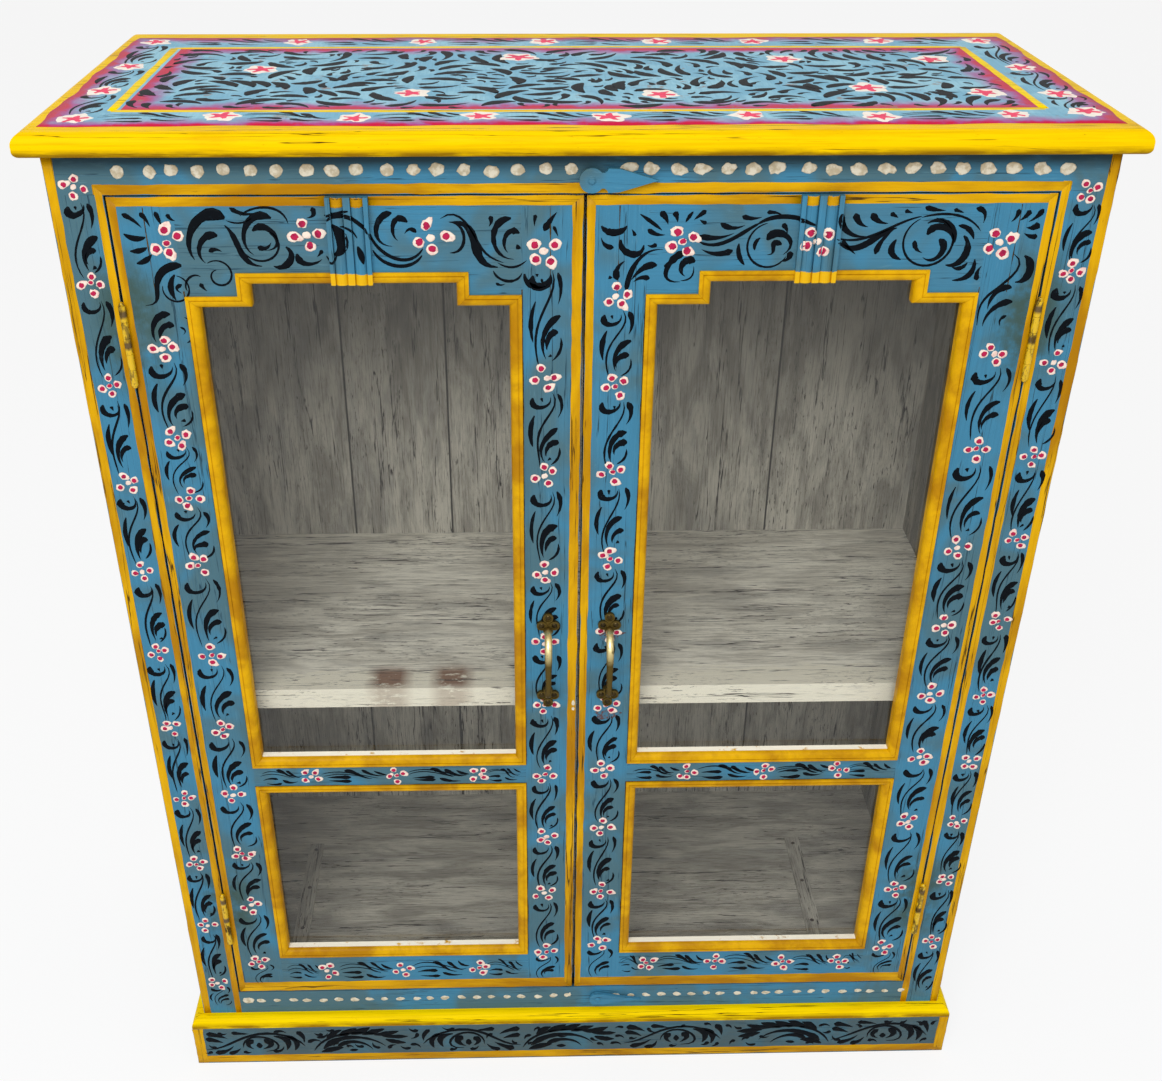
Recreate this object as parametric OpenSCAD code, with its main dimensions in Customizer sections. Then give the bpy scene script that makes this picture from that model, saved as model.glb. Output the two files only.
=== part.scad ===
// Hand-painted glazed cabinet: a boarded carcass on a plinth, with a face frame and two
// inset doors. The doors have a stepped head, mitred glazing beads and a reeded block.
// Drawn with the face frame's front at y = 0, then centred over the floor.

/* [Carcass] */
// Width across the face frame
cabinet_w = 900; // [760:10:1100]
// Height from the floor to the top of the top board
cabinet_h = 1133; // [1040:1:1300]
// Depth from the face frame's front to the back of the back boards
cabinet_d = 373; // [300:1:450]
// Thickness of the side boards
side_t = 20; // [15:1:25]
// Thickness of the back boards
back_t = 12; // [8:1:16]
// Height of the underside of the back boards
back_z = 40; // [20:1:60]

/* [Top board] */
// Thickness of the top board
top_t = 20; // [18:1:30]
// How far the top board stands out in front
top_over_front = 20; // [15:1:26]
// How far the top board stands out at each side
top_over_side = 16; // [15:1:30]
// How far the top board stands out at the back
top_over_back = 18; // [5:1:30]
// Radius of the top edge of its nosing
nose_top_r = 10; // [6:1:11]
// Radius of the bottom edge of its nosing
nose_bottom_r = 6; // [3:1:6]

/* [Face frame] */
// Thickness of the face frame and of the door frames
face_t = 22; // [19:1:26]
// Width of each face stile
face_stile_w = 46; // [38:1:60]
// Height of the frieze rail
frieze_h = 35; // [30:1:50]
// Height of the sill rail that shows above the plinth moulding
sill_show = 35.5; // [30:0.5:50]
// Height of the sill rail hidden behind the moulding and the plinth
sill_hidden = 30; // [20:1:40]

/* [Plinth] */
// Height of the plinth boards
plinth_h = 62; // [50:1:80]
// Thickness of the plinth boards
plinth_t = 13.6; // [10:0.2:18]
// Height of the moulding on top of the plinth
moulding_h = 13; // [10:1:18]
// Radius of the moulding's nose
moulding_r = 10; // [6:1:10]

/* [Shelf and floor] */
// Height of the shelf's top face
shelf_z = 540; // [450:5:620]
// Thickness of the shelf boards
shelf_t = 24; // [18:1:30]
// How far the shelf's front edge lies behind the doors
shelf_setback = 9; // [2:1:30]
// Depth of the front shelf board
shelf_front_d = 168; // [120:1:200]
// How far the floor's top face lies below the top of the sill rail
floor_drop = 5; // [2:1:8]
// Thickness of the floor boards
floor_t = 18; // [14:1:20]
// Depth of the front floor board
floor_front_d = 166; // [120:1:200]
// Thickness and height of the cleats under the shelf and the floor
cleat_s = 18; // [12:1:22]
// Width of the battens nailed across the floor boards
batten_w = 19; // [14:1:26]
// Thickness of the battens
batten_t = 3; // [2:0.5:5]
// Length of the battens
batten_l = 238; // [200:1:245]
// Distance of the left batten's middle from the left side board
batten_left_in = 89; // [60:1:120]
// Distance of the right batten's middle from the right side board
batten_right_in = 119; // [60:1:140]
// Number of nails in each batten
batten_nail_count = 4; // [2:1:6]

/* [Doors] */
// Gap above and below the doors
door_gap = 1.5; // [1:0.5:3]
// Gap between each door and its face stile
hinge_gap = 2; // [1.6:0.2:2.6]
// Gap between the two doors
meeting_gap = 3; // [2:0.5:5]
// Width of the stile that carries the hinges
hinge_stile_w = 54; // [45:1:65]
// Width of the stile at the meeting edge
meeting_stile_w = 53; // [50:1:65]
// Height of the top rail at its middle
top_rail_h = 66.5; // [55:0.5:80]
// Height of each step at the ends of the top rail
step_h = 21; // [14:1:30]
// Width of each step at the ends of the top rail
step_w = 46; // [30:1:70]
// Height of the mid rail
mid_rail_h = 27; // [26:1:40]
// Height of the mid rail's underside
mid_rail_z = 433; // [380:1:450]
// Height of the bottom rail
bottom_rail_h = 58; // [45:1:75]
// Thickness of the tenons
tenon_t = 6; // [5:0.5:8]
// Length of the tenons
tenon_l = 25; // [15:1:28]
// Distance between a tenon's edge and the rail's edge
tenon_shoulder = 5; // [3:0.5:8]
// Gap all round a tenon
tenon_fit = 0.1; // [0.05:0.05:0.3]

/* [Glazing] */
// Thickness of the glass
glass_t = 3; // [2:0.5:4]
// Width of the rebate behind the frame's edge
rebate_w = 8; // [6:0.5:9]
// Depth of the rebate, from the back of the door
rebate_d = 10; // [8:0.5:12]
// Gap between the edge of the glass and the rebate
glass_fit = 1; // [0.5:0.5:2]
// Width of the glazing bead seen from the front
bead_w = 11; // [9:0.5:14]
// How far the bead stands proud of the door's face
bead_proud = 2; // [1:0.5:3]
// Radius of the bead's rounded inner edge
bead_r = 7; // [5:0.5:7]
// Width and depth of the quirk that runs along the bead
quirk_s = 0.9; // [0.5:0.1:1.2]
// Gap between two lengths of bead, or of fillet, where they meet
joint_gap = 0.2; // [0.1:0.1:0.5]

/* [Reeded blocks] */
// Width of each half-round reed
reed_w = 11; // [8:0.5:14]
// How far the reeds stand in front of the block's ground
reed_h = 3.5; // [2.5:0.5:4]
// Width of the outer ridges
ridge_w = 4; // [3:0.5:6]
// Width of the middle ridge
mid_ridge_w = 6; // [4:0.5:8]
// How far the ridges stand in front of the block's ground
ridge_h = 3; // [2:0.5:4]
// How far the reeds run down over the bead
reed_drop = 10; // [6:0.5:10.5]

/* [Hinges] */
// Height of each hinge
hinge_h = 75; // [60:5:90]
// Height of the upper hinges' middle
hinge_top_z = 945; // [880:1:980]
// Height of the lower hinges' middle
hinge_bottom_z = 236; // [190:1:300]
// Radius of the hinge pins
pin_r = 1.5; // [1.2:0.1:1.7]
// Outer radius of the knuckles
knuckle_r = 3.2; // [3:0.1:4]
// Radial gap between pin and knuckle
pin_fit = 0.05; // [0.03:0.01:0.08]
// Gap between neighbouring knuckles
knuckle_gap = 0.3; // [0.2:0.1:0.6]
// Thickness of the hinge leaves
leaf_t = 1.5; // [1.2:0.1:1.8]
// Depth that a leaf reaches back from the door's face
leaf_w = 19; // [17:1:19]
// Distance between the two leaves of a closed hinge
leaf_apart = 0.5; // [0.3:0.1:0.8]
// Distance between neighbouring screws of a leaf
leaf_screw_pitch = 26; // [20:1:28]

/* [Handles] */
// Height of the handles' middle
handle_z = 597.5; // [560:0.5:700]
// Distance between the feet of the bow
handle_span = 75; // [60:1:90]
// Distance of the handles from the meeting line
handle_x = 31; // [26:1:34]
// Radius of the bow's bends, measured at its middle line
bow_bend_r = 20; // [16:1:24]
// Radius of the bow at its upper, thicker end
bow_top_r = 3.7; // [3:0.1:4.5]
// Radius of the bow at its lower, slimmer end
bow_bottom_r = 2.8; // [2.2:0.1:3.5]
// Thickness of the trefoil roses
rose_t = 2.5; // [2:0.5:4]
// Radius of each lobe of a rose
lobe_r = 5.2; // [4.6:0.1:6]
// Distance of the lobes from the middle of a rose
lobe_out = 6.4; // [6:0.1:7]
// Distance from the middle of a rose to the foot of the bow
foot_drop = 9; // [8:0.5:11]
// Height of the foot of the bow
foot_h = 2.5; // [1:0.5:4]
// Radius of the foot of the bow
foot_r = 5; // [4.8:0.1:6]
// How far the rim of each lobe stands round its screw
lobe_rim_h = 0.9; // [0.5:0.1:1.2]
// Width of that rim
lobe_rim_w = 1.1; // [0.8:0.1:1.4]

/* [Turn buttons] */
// Thickness of the turn buttons
button_t = 3.5; // [2.5:0.5:5]
// Gap between a turn button and the faces behind it
button_off = 2; // [1:0.5:3]
// Distance of the top button's pivot from the middle, to the right
top_button_x = 5; // [-10:1:15]
// Height of the top button's pivot above the frieze rail's lower edge
top_button_rise = 12; // [11.5:0.5:14]
// Radius of the top button's round head
top_button_r = 10.5; // [8:0.5:11]
// Length of the top button from its pivot to its point
top_button_l = 56; // [45:1:62]
// Distance of the bottom button's pivot from the middle, to the right
bottom_button_x = 30; // [20:1:40]
// Height of the bottom button's pivot above the moulding
bottom_button_rise = 18; // [15:0.5:20]
// Radius of the bottom button's round end
bottom_button_r = 10; // [8:0.5:12]
// Length of the bottom button from its pivot to its point
bottom_button_l = 53; // [40:1:60]
// Radius of the pivot screws' shanks
pivot_r = 2.2; // [1.8:0.1:2.6]

/* [Screws and nails] */
// Radius of the screws' shanks
screw_r = 1.5; // [1.2:0.1:1.6]
// Radius of the screws' heads
screw_head_r = 2.8; // [2.4:0.1:3]
// Length of the screws' shanks
screw_l = 15; // [10:1:18]
// Gap around a screw or a nail in its hole
screw_fit = 0.05; // [0.03:0.01:0.1]
// Radius of the batten nails
nail_r = 1.1; // [0.8:0.1:1.5]
// Length of the batten nails
nail_l = 14; // [8:1:16]

/* [Hidden] */
$fn = 32;

// Colours as they show
blue = "#3d84b4";
yellow = "#e6b800";
grey_wash = "#8a887f";
brass = "#a8925a";
worn_brass = "#c9a63a";
iron = "#5a5650";
glass = "#aab4b480";

// A little more than nothing, to run cuts past a face
past = 1;

// Levels, counted up from the floor
top_under = cabinet_h - top_t;
frieze_z = top_under - frieze_h;
moulding_top = plinth_h + moulding_h;
sill_top = moulding_top + sill_show;
sill_z = moulding_top - sill_hidden;
floor_top = sill_top - floor_drop;
floor_z = floor_top - floor_t;
shelf_under = shelf_z - shelf_t;

// Widths, counted from the middle
half_w = cabinet_w / 2;
inner_half = half_w - side_t;
opening_half = half_w - face_stile_w;

// Depths, counted back from the face frame's front
back_y = cabinet_d - back_t;
shelf_y = face_t + shelf_setback;

// The left door; the right door is its mirror image
door_out = -opening_half + hinge_gap;
door_in = -meeting_gap / 2;
door_z = sill_top + door_gap;
door_top = frieze_z - door_gap;
light_l = door_out + hinge_stile_w;
light_r = door_in - meeting_stile_w;
head_z = door_top - top_rail_h;
step_z = head_z - step_h;
mid_top = mid_rail_z + mid_rail_h;
bottom_top = door_z + bottom_rail_h;
glass_y = face_t - rebate_d;
fillet_y = glass_y + glass_t;
fillet_d = face_t - fillet_y;
tenon_y = (glass_y - tenon_t) / 2;

// Outline of the opening in front of the upper pane, and of the lower one
upper_loop = [
    [light_l, mid_top], [light_r, mid_top], [light_r, step_z], [light_r - step_w, step_z],
    [light_r - step_w, head_z], [light_l + step_w, head_z], [light_l + step_w, step_z],
    [light_l, step_z]];
lower_loop = [
    [light_l, bottom_top], [light_r, bottom_top], [light_r, mid_rail_z], [light_l, mid_rail_z]];

// The reeded block sits over the middle of the top rail
block_x = (light_l + light_r) / 2;
block_w = 2 * reed_w + 2 * ridge_w + mid_ridge_w;
block_front = bead_proud + 0.1;

// Hinges
pin_x = -opening_half + hinge_gap / 2;
pin_y = -knuckle_r - 0.2;
knuckle_h = hinge_h / 5;
leaf_z = [hinge_top_z, hinge_bottom_z];
leaf_let_in = leaf_t - (hinge_gap - leaf_apart) / 2;
leaf_screw_y = 11;
leaf_fit = 0.1;

// Handles
rose_z = handle_span / 2 + foot_drop;
bow_y = -rose_t - foot_h;
lobe_side_drop = 3;
lobes = [[0, rose_z + lobe_out],
    [lobe_out, rose_z - lobe_side_drop], [-lobe_out, rose_z - lobe_side_drop]];
handle_reach = rose_t + foot_h + bow_bend_r + max(bow_top_r, bow_bottom_r);

// Turn buttons
top_button_z = frieze_z + top_button_rise;
bottom_button_z = moulding_top + bottom_button_rise;
button_back = -button_off;
button_front = -button_off - button_t;

// Edges of the back boards, as shares of the width
back_edges = [for (share = [0, 0.205, 0.34, 0.565, 0.78, 1]) -half_w + share * cabinet_w];
back_joint = 0.6;

// Batten nails, evenly spaced
nail_end = 12;
nail_ys = [for (i = [0 : batten_nail_count - 1])
    face_t + nail_end + i * (batten_l - 2 * nail_end) / (batten_nail_count - 1)];
batten_xs = [batten_left_in - inner_half, inner_half - batten_right_in];

// The middle of the whole depth lies over the origin
y_mid = (cabinet_d + top_over_back - max(handle_reach, top_over_front, plinth_t)) / 2;

// Moves a piece from the drawing to its place over the floor
module placed() translate([0, -y_mid, 0]) children();

// Extrudes an outline drawn as seen from the front, from one depth to another
module seen_from_front(y0, y1) {
    translate([0, y1, 0]) rotate([90, 0, 0]) linear_extrude(y1 - y0) children();
}

// A box between two corners
module between(low, high) translate(low) cube(high - low);

// What a rounding takes off the corner of a section
module round_off(r) difference() {
    translate([-past, -past]) square(r + past);
    translate([r, r]) circle(r);
}

// A board lying on its edge or face, from x0 to x1, y0 to y1 and z0 to z1
module board(x0, x1, y0, y1, z0, z1) between([x0, y0, z0], [x1, y1, z1]);

// Carcass

module top_board() color(yellow) placed() {
    side_x = half_w + top_over_side;
    depth = cabinet_d + top_over_back + top_over_front;
    intersection() {
        // Section across the front nosing, run from side to side
        translate([-side_x, -top_over_front, top_under]) rotate([90, 0, 90])
            linear_extrude(2 * side_x) nosed_section(depth, false);
        // Section across both side nosings, run from front to back
        translate([-side_x, depth - top_over_front, top_under]) rotate([90, 0, 0])
            linear_extrude(depth) nosed_section(2 * side_x, true);
    }
}

module nosed_section(w, both) difference() {
    square([w, top_t]);
    round_off(nose_bottom_r);
    translate([0, top_t]) mirror([0, 1]) round_off(nose_top_r);
    if (both) translate([w, 0]) mirror([1, 0]) {
        round_off(nose_bottom_r);
        translate([0, top_t]) mirror([0, 1]) round_off(nose_top_r);
    }
}

module side_board() board(-half_w, -inner_half, face_t, back_y, 0, top_under);

module left_side() color(blue) placed() side_board();
module right_side() color(blue) placed() mirror([1, 0, 0]) side_board();

module back_board(i) color(grey_wash) placed()
    board(back_edges[i] + (i > 0 ? back_joint / 2 : 0),
        back_edges[i + 1] - (i < len(back_edges) - 2 ? back_joint / 2 : 0),
        back_y, cabinet_d, back_z, top_under);

module shelf_board_front() color(grey_wash) placed()
    board(-inner_half, inner_half, shelf_y, shelf_y + shelf_front_d, shelf_under, shelf_z);

module shelf_board_back() color(grey_wash) placed()
    board(-inner_half, inner_half, shelf_y + shelf_front_d, back_y, shelf_under, shelf_z);

// Nail holes for the battens, through whatever floor board they meet
module nail_holes() for (x = batten_xs, y = nail_ys)
    translate([x, y, floor_top + batten_t - nail_l - past])
        cylinder(r = nail_r + screw_fit, h = nail_l + 2 * past);

module floor_board_front() color(grey_wash) placed() difference() {
    board(-inner_half, inner_half, face_t, face_t + floor_front_d, floor_z, floor_top);
    nail_holes();
}

module floor_board_back() color(grey_wash) placed() difference() {
    board(-inner_half, inner_half, face_t + floor_front_d, back_y, floor_z, floor_top);
    nail_holes();
}

module side_cleats() color(grey_wash) placed()
    for (side = [0, 1], z = [shelf_under, floor_z])
        mirror([side, 0, 0])
            board(-inner_half, -inner_half + cleat_s, shelf_y, back_y, z - cleat_s, z);

module floor_battens() color(grey_wash) placed() for (x = batten_xs) difference() {
    board(x - batten_w / 2, x + batten_w / 2, face_t, face_t + batten_l,
        floor_top, floor_top + batten_t);
    nail_holes();
}

module batten_nails() color(iron) placed() for (x = batten_xs, y = nail_ys)
    translate([x, y, floor_top + batten_t]) {
        translate([0, 0, -nail_l]) cylinder(r = nail_r, h = nail_l);
        cylinder(r1 = 2.6, r2 = 1.8, h = 0.8);
    }

// Face frame

module stile_tenon(fit) between(
    [-half_w + tenon_shoulder * 2 - fit, (face_t - tenon_t) / 2 - fit, frieze_z - past],
    [-opening_half - tenon_shoulder + fit, (face_t + tenon_t) / 2 + fit, frieze_z + tenon_l + fit]);

module sill_tenon(fit) between(
    [-opening_half - tenon_l - fit, (face_t - tenon_t) / 2 - fit, sill_z + tenon_shoulder - fit],
    [-opening_half + past, (face_t + tenon_t) / 2 + fit, sill_top - tenon_shoulder + fit]);

module face_stile() difference() {
    union() {
        board(-half_w, -opening_half, 0, face_t, 0, frieze_z);
        stile_tenon(0);
    }
    sill_tenon(tenon_fit);
    for (z = leaf_z) translate([pin_x, 0, z]) mirror([1, 0, 0]) leaf_seat();
}

module left_face_stile() color(blue) placed() face_stile();
module right_face_stile() color(blue) placed() mirror([1, 0, 0]) face_stile();

module frieze_rail() color(blue) placed() difference() {
    board(-half_w, half_w, 0, face_t, frieze_z, top_under);
    for (side = [0, 1]) mirror([side, 0, 0]) stile_tenon(tenon_fit);
    pivot_hole(top_button_x, top_button_z);
}

module sill_rail() color(blue) placed() difference() {
    union() {
        board(-opening_half, opening_half, 0, face_t, sill_z, sill_top);
        for (side = [0, 1]) mirror([side, 0, 0]) sill_tenon(0);
    }
    pivot_hole(bottom_button_x, bottom_button_z);
}

// The strip behind the frieze rail that the doors close against
module door_stop() color(grey_wash) placed()
    board(-inner_half, inner_half, face_t, face_t + 12, frieze_z - 12, top_under);

// Plinth, mitred at the front corners

module plinth_plan(side) {
    out = half_w + plinth_t;
    if (side) polygon([[-half_w, 0], [-out, -plinth_t], [-out, cabinet_d], [-half_w, cabinet_d]]);
    else polygon([[-half_w, 0], [-out, -plinth_t], [out, -plinth_t], [half_w, 0]]);
}

module plinth_front() color(blue) placed() linear_extrude(plinth_h) plinth_plan(false);
module plinth_left() color(blue) placed() linear_extrude(plinth_h) plinth_plan(true);
module plinth_right() color(blue) placed() mirror([1, 0, 0])
    linear_extrude(plinth_h) plinth_plan(true);

module moulding_section() difference() {
    square([plinth_t, moulding_h]);
    translate([plinth_t, moulding_h]) rotate(180) round_off(moulding_r);
}

module moulding_front() intersection() {
    translate([0, 0, plinth_h]) linear_extrude(moulding_h) plinth_plan(false);
    translate([half_w + plinth_t, 0, plinth_h]) rotate([90, 0, -90])
        linear_extrude(cabinet_w + 2 * plinth_t) moulding_section();
}

module moulding_side() intersection() {
    translate([0, 0, plinth_h]) linear_extrude(moulding_h) plinth_plan(true);
    translate([-half_w, -plinth_t, plinth_h]) mirror([1, 0, 0]) rotate([90, 0, 180])
        mirror([1, 0, 0]) linear_extrude(cabinet_d + plinth_t) moulding_section();
}

module plinth_moulding_front() color(yellow) placed() moulding_front();
module plinth_moulding_left() color(yellow) placed() moulding_side();
module plinth_moulding_right() color(yellow) placed() mirror([1, 0, 0]) moulding_side();

// Screws. Each points along +Z, with its head's top at the origin

module flat_screw() {
    translate([0, 0, -leaf_t]) cylinder(r1 = screw_r, r2 = screw_head_r, h = leaf_t);
    translate([0, 0, -leaf_t - screw_l]) cylinder(r = screw_r, h = screw_l);
}

module round_screw() {
    intersection() {
        translate([0, 0, -screw_head_r]) sphere(screw_head_r * 1.45);
        cylinder(r = screw_head_r, h = screw_head_r);
    }
    translate([0, 0, -screw_l]) cylinder(r = screw_r, h = screw_l);
}

// Where the screws of one hinge leaf go, seen from the pin: +X points into the stile
module leaf_screw_places() for (i = [-1, 0, 1])
    translate([leaf_apart / 2, leaf_screw_y, i * leaf_screw_pitch]) rotate([0, -90, 0]) children();

// The shallow seat and the pilot holes for one leaf, cut from a stile beside the pin
module leaf_seat() {
    between([0, -past, -hinge_h / 2 - leaf_fit],
        [leaf_apart / 2 + leaf_t, leaf_w + leaf_fit, hinge_h / 2 + leaf_fit]);
    leaf_screw_places() translate([0, 0, -leaf_t - screw_l - past])
        cylinder(r = screw_r + screw_fit, h = screw_l + leaf_t + past);
}

// Heights of the knuckles that belong to one leaf: 0 for the frame's, 1 for the door's
function knuckle_zs(own) = [for (i = [own : 2 : 4]) -hinge_h / 2 + i * knuckle_h];

// One leaf, seen from the pin's middle: +X points into its stile, +Y to the back
module hinge_leaf(own) difference() {
    union() {
        between([leaf_apart / 2, pin_y, -hinge_h / 2], [leaf_apart / 2 + leaf_t, leaf_w, hinge_h / 2]);
        for (z = knuckle_zs(own)) translate([0, pin_y, z + knuckle_gap / 2])
            cylinder(r = knuckle_r, h = knuckle_h - knuckle_gap);
    }
    translate([0, pin_y, -hinge_h / 2 - past]) cylinder(r = pin_r + pin_fit, h = hinge_h + 2 * past);
    // Room for the other leaf's knuckles, and the slits between neighbours
    for (z = knuckle_zs(1 - own)) translate([0, pin_y, z - knuckle_gap / 2])
        cylinder(r = knuckle_r + knuckle_gap, h = knuckle_h + knuckle_gap);
    leaf_screw_places() {
        translate([0, 0, -leaf_t])
            cylinder(r1 = screw_r + screw_fit, r2 = screw_head_r + screw_fit, h = leaf_t + 0.001);
        translate([0, 0, -2 * leaf_t]) cylinder(r = screw_r + screw_fit, h = 2 * leaf_t);
    }
}

module hinge_pin() translate([0, pin_y, 0]) {
    cylinder(r = pin_r, h = hinge_h, center = true);
    for (up = [0, 1]) mirror([0, 0, up]) translate([0, 0, hinge_h / 2]) {
        cylinder(r = 2.5, h = 1);
        translate([0, 0, 1]) intersection() {
            sphere(2.2);
            translate([0, 0, 3]) cube(6, center = true);
        }
    }
}

module hinge_frame_leaves() color(worn_brass) placed()
    for (side = [0, 1], z = leaf_z) mirror([side, 0, 0])
        translate([pin_x, 0, z]) mirror([1, 0, 0]) hinge_leaf(0);

module hinge_pins() color(worn_brass) placed()
    for (side = [0, 1], z = leaf_z) mirror([side, 0, 0]) translate([pin_x, 0, z]) hinge_pin();

module frame_screws() {
    color(worn_brass) placed() for (side = [0, 1], z = leaf_z) mirror([side, 0, 0])
        translate([pin_x, 0, z]) mirror([1, 0, 0]) leaf_screw_places() flat_screw();
    color(blue) placed() {
        translate([top_button_x, 0, top_button_z]) pivot_screw();
        translate([bottom_button_x, 0, bottom_button_z]) pivot_screw();
    }
}

// Turn buttons, drawn with the pivot at the origin and the point towards +X

module pivot_hole(x, z) translate([x, -past, z]) rotate([-90, 0, 0])
    cylinder(r = pivot_r + screw_fit, h = screw_l + 2 * past);

// The screw that a button turns on, with the washer that holds it off the frame
module pivot_screw() rotate([90, 0, 0]) {
    translate([0, 0, -screw_l]) cylinder(r = pivot_r, h = screw_l + button_off + button_t);
    cylinder(r = pivot_r * 2, h = button_off - 0.1);
    translate([0, 0, button_off + button_t + 0.1]) cylinder(r1 = pivot_r * 1.7, r2 = pivot_r, h = 1.4);
}

// A round head, a notched neck and a long leaf-shaped blade
module top_button_outline() difference() {
    neck = top_button_r * 1.05;
    union() {
        circle(top_button_r);
        polygon([[0, -top_button_r * 0.62], [neck, -top_button_r * 0.62],
            [neck + 3, -top_button_r * 0.98], [neck + 12, -top_button_r * 0.93],
            [top_button_l, 0],
            [neck + 12, top_button_r * 0.93], [neck + 3, top_button_r * 0.98],
            [neck, top_button_r * 0.62], [0, top_button_r * 0.62]]);
    }
    for (side = [-1, 1]) translate([neck, side * top_button_r * 0.92]) circle(2.4);
    circle(pivot_r + 0.08);
}

// A teardrop: a round end drawn out, a little hollow, to a fine point
module bottom_button_outline() {
    half = [[bottom_button_r * 0.25, bottom_button_r * 0.95],
        [bottom_button_l * 0.55, bottom_button_r * 0.36]];
    difference() {
        union() {
            circle(bottom_button_r);
            polygon([[0, 0], [half[0][0], -half[0][1]], [half[1][0], -half[1][1]],
                [bottom_button_l, 0], half[1], half[0]]);
        }
        circle(pivot_r + 0.08);
    }
}

module turn_button(x, z) translate([x, 0, z]) seen_from_front(button_front, button_back) children();

module top_latch() color(blue) placed()
    turn_button(top_button_x, top_button_z) top_button_outline();

module bottom_latch() color(blue) placed()
    turn_button(bottom_button_x, bottom_button_z) bottom_button_outline();

// Doors, each piece drawn for the left one

// A rail's two tenons, between two heights
module rail_tenons(z0, z1, fit) for (ends = [[light_l - tenon_l - fit, light_l + past],
        [light_r - past, light_r + tenon_l + fit]])
    between([ends[0], tenon_y - fit, z0 + tenon_shoulder - fit],
        [ends[1], tenon_y + tenon_t + fit, z1 - tenon_shoulder + fit]);

module all_tenons(fit) {
    rail_tenons(step_z, door_top, fit);
    rail_tenons(mid_rail_z, mid_top, fit);
    rail_tenons(door_z, bottom_top, fit);
}

// The two rebates that the panes sit in, cut from the back of the stiles
module rebates() for (zs = [[bottom_top, mid_rail_z], [mid_top, head_z]])
    between([light_l - rebate_w, glass_y, zs[0] - rebate_w],
        [light_r + rebate_w, face_t + past, zs[1] + rebate_w]);

module hinge_stile() difference() {
    board(door_out, light_l, 0, face_t, door_z, door_top);
    rebates();
    all_tenons(tenon_fit);
    for (z = leaf_z) translate([pin_x, 0, z]) leaf_seat();
}

module meeting_stile() difference() {
    board(light_r, door_in, 0, face_t, door_z, door_top);
    rebates();
    all_tenons(tenon_fit);
    rose_screw_places() translate([0, 0, -screw_l - past])
        cylinder(r = screw_r + screw_fit, h = screw_l + 2 * past);
}

module top_rail() {
    seen_from_front(0, glass_y) polygon([
        [light_l, step_z], [light_l + step_w, step_z], [light_l + step_w, head_z],
        [light_r - step_w, head_z], [light_r - step_w, step_z], [light_r, step_z],
        [light_r, door_top], [light_l, door_top]]);
    board(light_l, light_r, glass_y, face_t, head_z + rebate_w, door_top);
    rail_tenons(step_z, door_top, 0);
}

module mid_rail() {
    board(light_l, light_r, 0, glass_y, mid_rail_z, mid_top);
    board(light_l, light_r, glass_y, face_t, mid_rail_z + rebate_w, mid_top - rebate_w);
    rail_tenons(mid_rail_z, mid_top, 0);
}

module bottom_rail() {
    board(light_l, light_r, 0, glass_y, door_z, bottom_top);
    board(light_l, light_r, glass_y, face_t, door_z, bottom_top - rebate_w);
    rail_tenons(door_z, bottom_top, 0);
}

// Two half-round reeds between three ridges, planted on the middle of the top rail
module reeded_block() {
    ridge_xs = [-block_w / 2, -mid_ridge_w / 2, block_w / 2 - ridge_w];
    ridge_ws = [ridge_w, mid_ridge_w, ridge_w];
    // Chord and sagitta give the radius of the reeds' round faces
    round_r = (pow(reed_w / 2, 2) + pow(reed_h, 2)) / (2 * reed_h);
    translate([block_x, -block_front, head_z - reed_drop])
        linear_extrude(top_rail_h + reed_drop) {
            for (i = [0 : 2]) translate([ridge_xs[i], -ridge_h]) square([ridge_ws[i], ridge_h]);
            for (side = [-1, 1]) intersection() {
                translate([side * (mid_ridge_w + reed_w) / 2, round_r - reed_h]) circle(round_r);
                translate([side * (mid_ridge_w + reed_w) / 2 - reed_w / 2, -reed_h])
                    square([reed_w, reed_h]);
            }
        }
    board(block_x - block_w / 2, block_x + block_w / 2, -block_front, 0, head_z, door_top);
}

module pane(z0, z1) board(light_l - rebate_w + glass_fit, light_r + rebate_w - glass_fit,
    glass_y, fillet_y, z0 - rebate_w + glass_fit, z1 + rebate_w - glass_fit);

// Strips behind a pane that hold it in its rebate
module fillets(z0, z1) {
    x0 = light_l - rebate_w;
    x1 = light_r + rebate_w;
    low = z0 - rebate_w;
    high = z1 + rebate_w;
    s = rebate_w - 1;
    board(x0, x1, fillet_y, face_t, low, low + s);
    board(x0, x1, fillet_y, face_t, high - s, high);
    board(x0, x0 + s, fillet_y, face_t, low + s + joint_gap, high - s - joint_gap);
    board(x1 - s, x1, fillet_y, face_t, low + s + joint_gap, high - s - joint_gap);
}

// Section of the glazing bead: depth along X, distance from the wood's edge along Y
module bead_section() difference() {
    translate([-bead_proud, 0]) square([bead_proud + glass_y, bead_w]);
    translate([-bead_proud, bead_w]) mirror([0, 1]) round_off(bead_r);
    translate([-bead_proud - past, bead_w - bead_r - quirk_s])
        square([quirk_s + past, quirk_s]);
}

function left_of(p, q) = [-(q[1] - p[1]), q[0] - p[0]] / norm(q - p);

// One length of bead on each side of a loop that runs anticlockwise, mitred at its corners
module bead_lengths(loop) {
    n = len(loop);
    for (i = [0 : n - 1]) {
        p = loop[i];
        q = loop[(i + 1) % n];
        before = loop[(i + n - 1) % n];
        after = loop[(i + 2) % n];
        p_in = p + bead_w * (left_of(before, p) + left_of(p, q));
        q_in = q + bead_w * (left_of(p, q) + left_of(q, after));
        short = joint_gap / 2 * (q - p) / norm(q - p);
        intersection() {
            seen_from_front(-bead_proud - past, glass_y + past)
                polygon([p + short, q - short, q_in - short, p_in + short]);
            translate([p[0], 0, p[1]]) rotate([0, -atan2(q[1] - p[1], q[0] - p[0]), 0])
                translate([-bead_w, 0, 0]) rotate([90, 0, 90])
                    linear_extrude(norm(q - p) + 2 * bead_w) bead_section();
        }
    }
}

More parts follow.
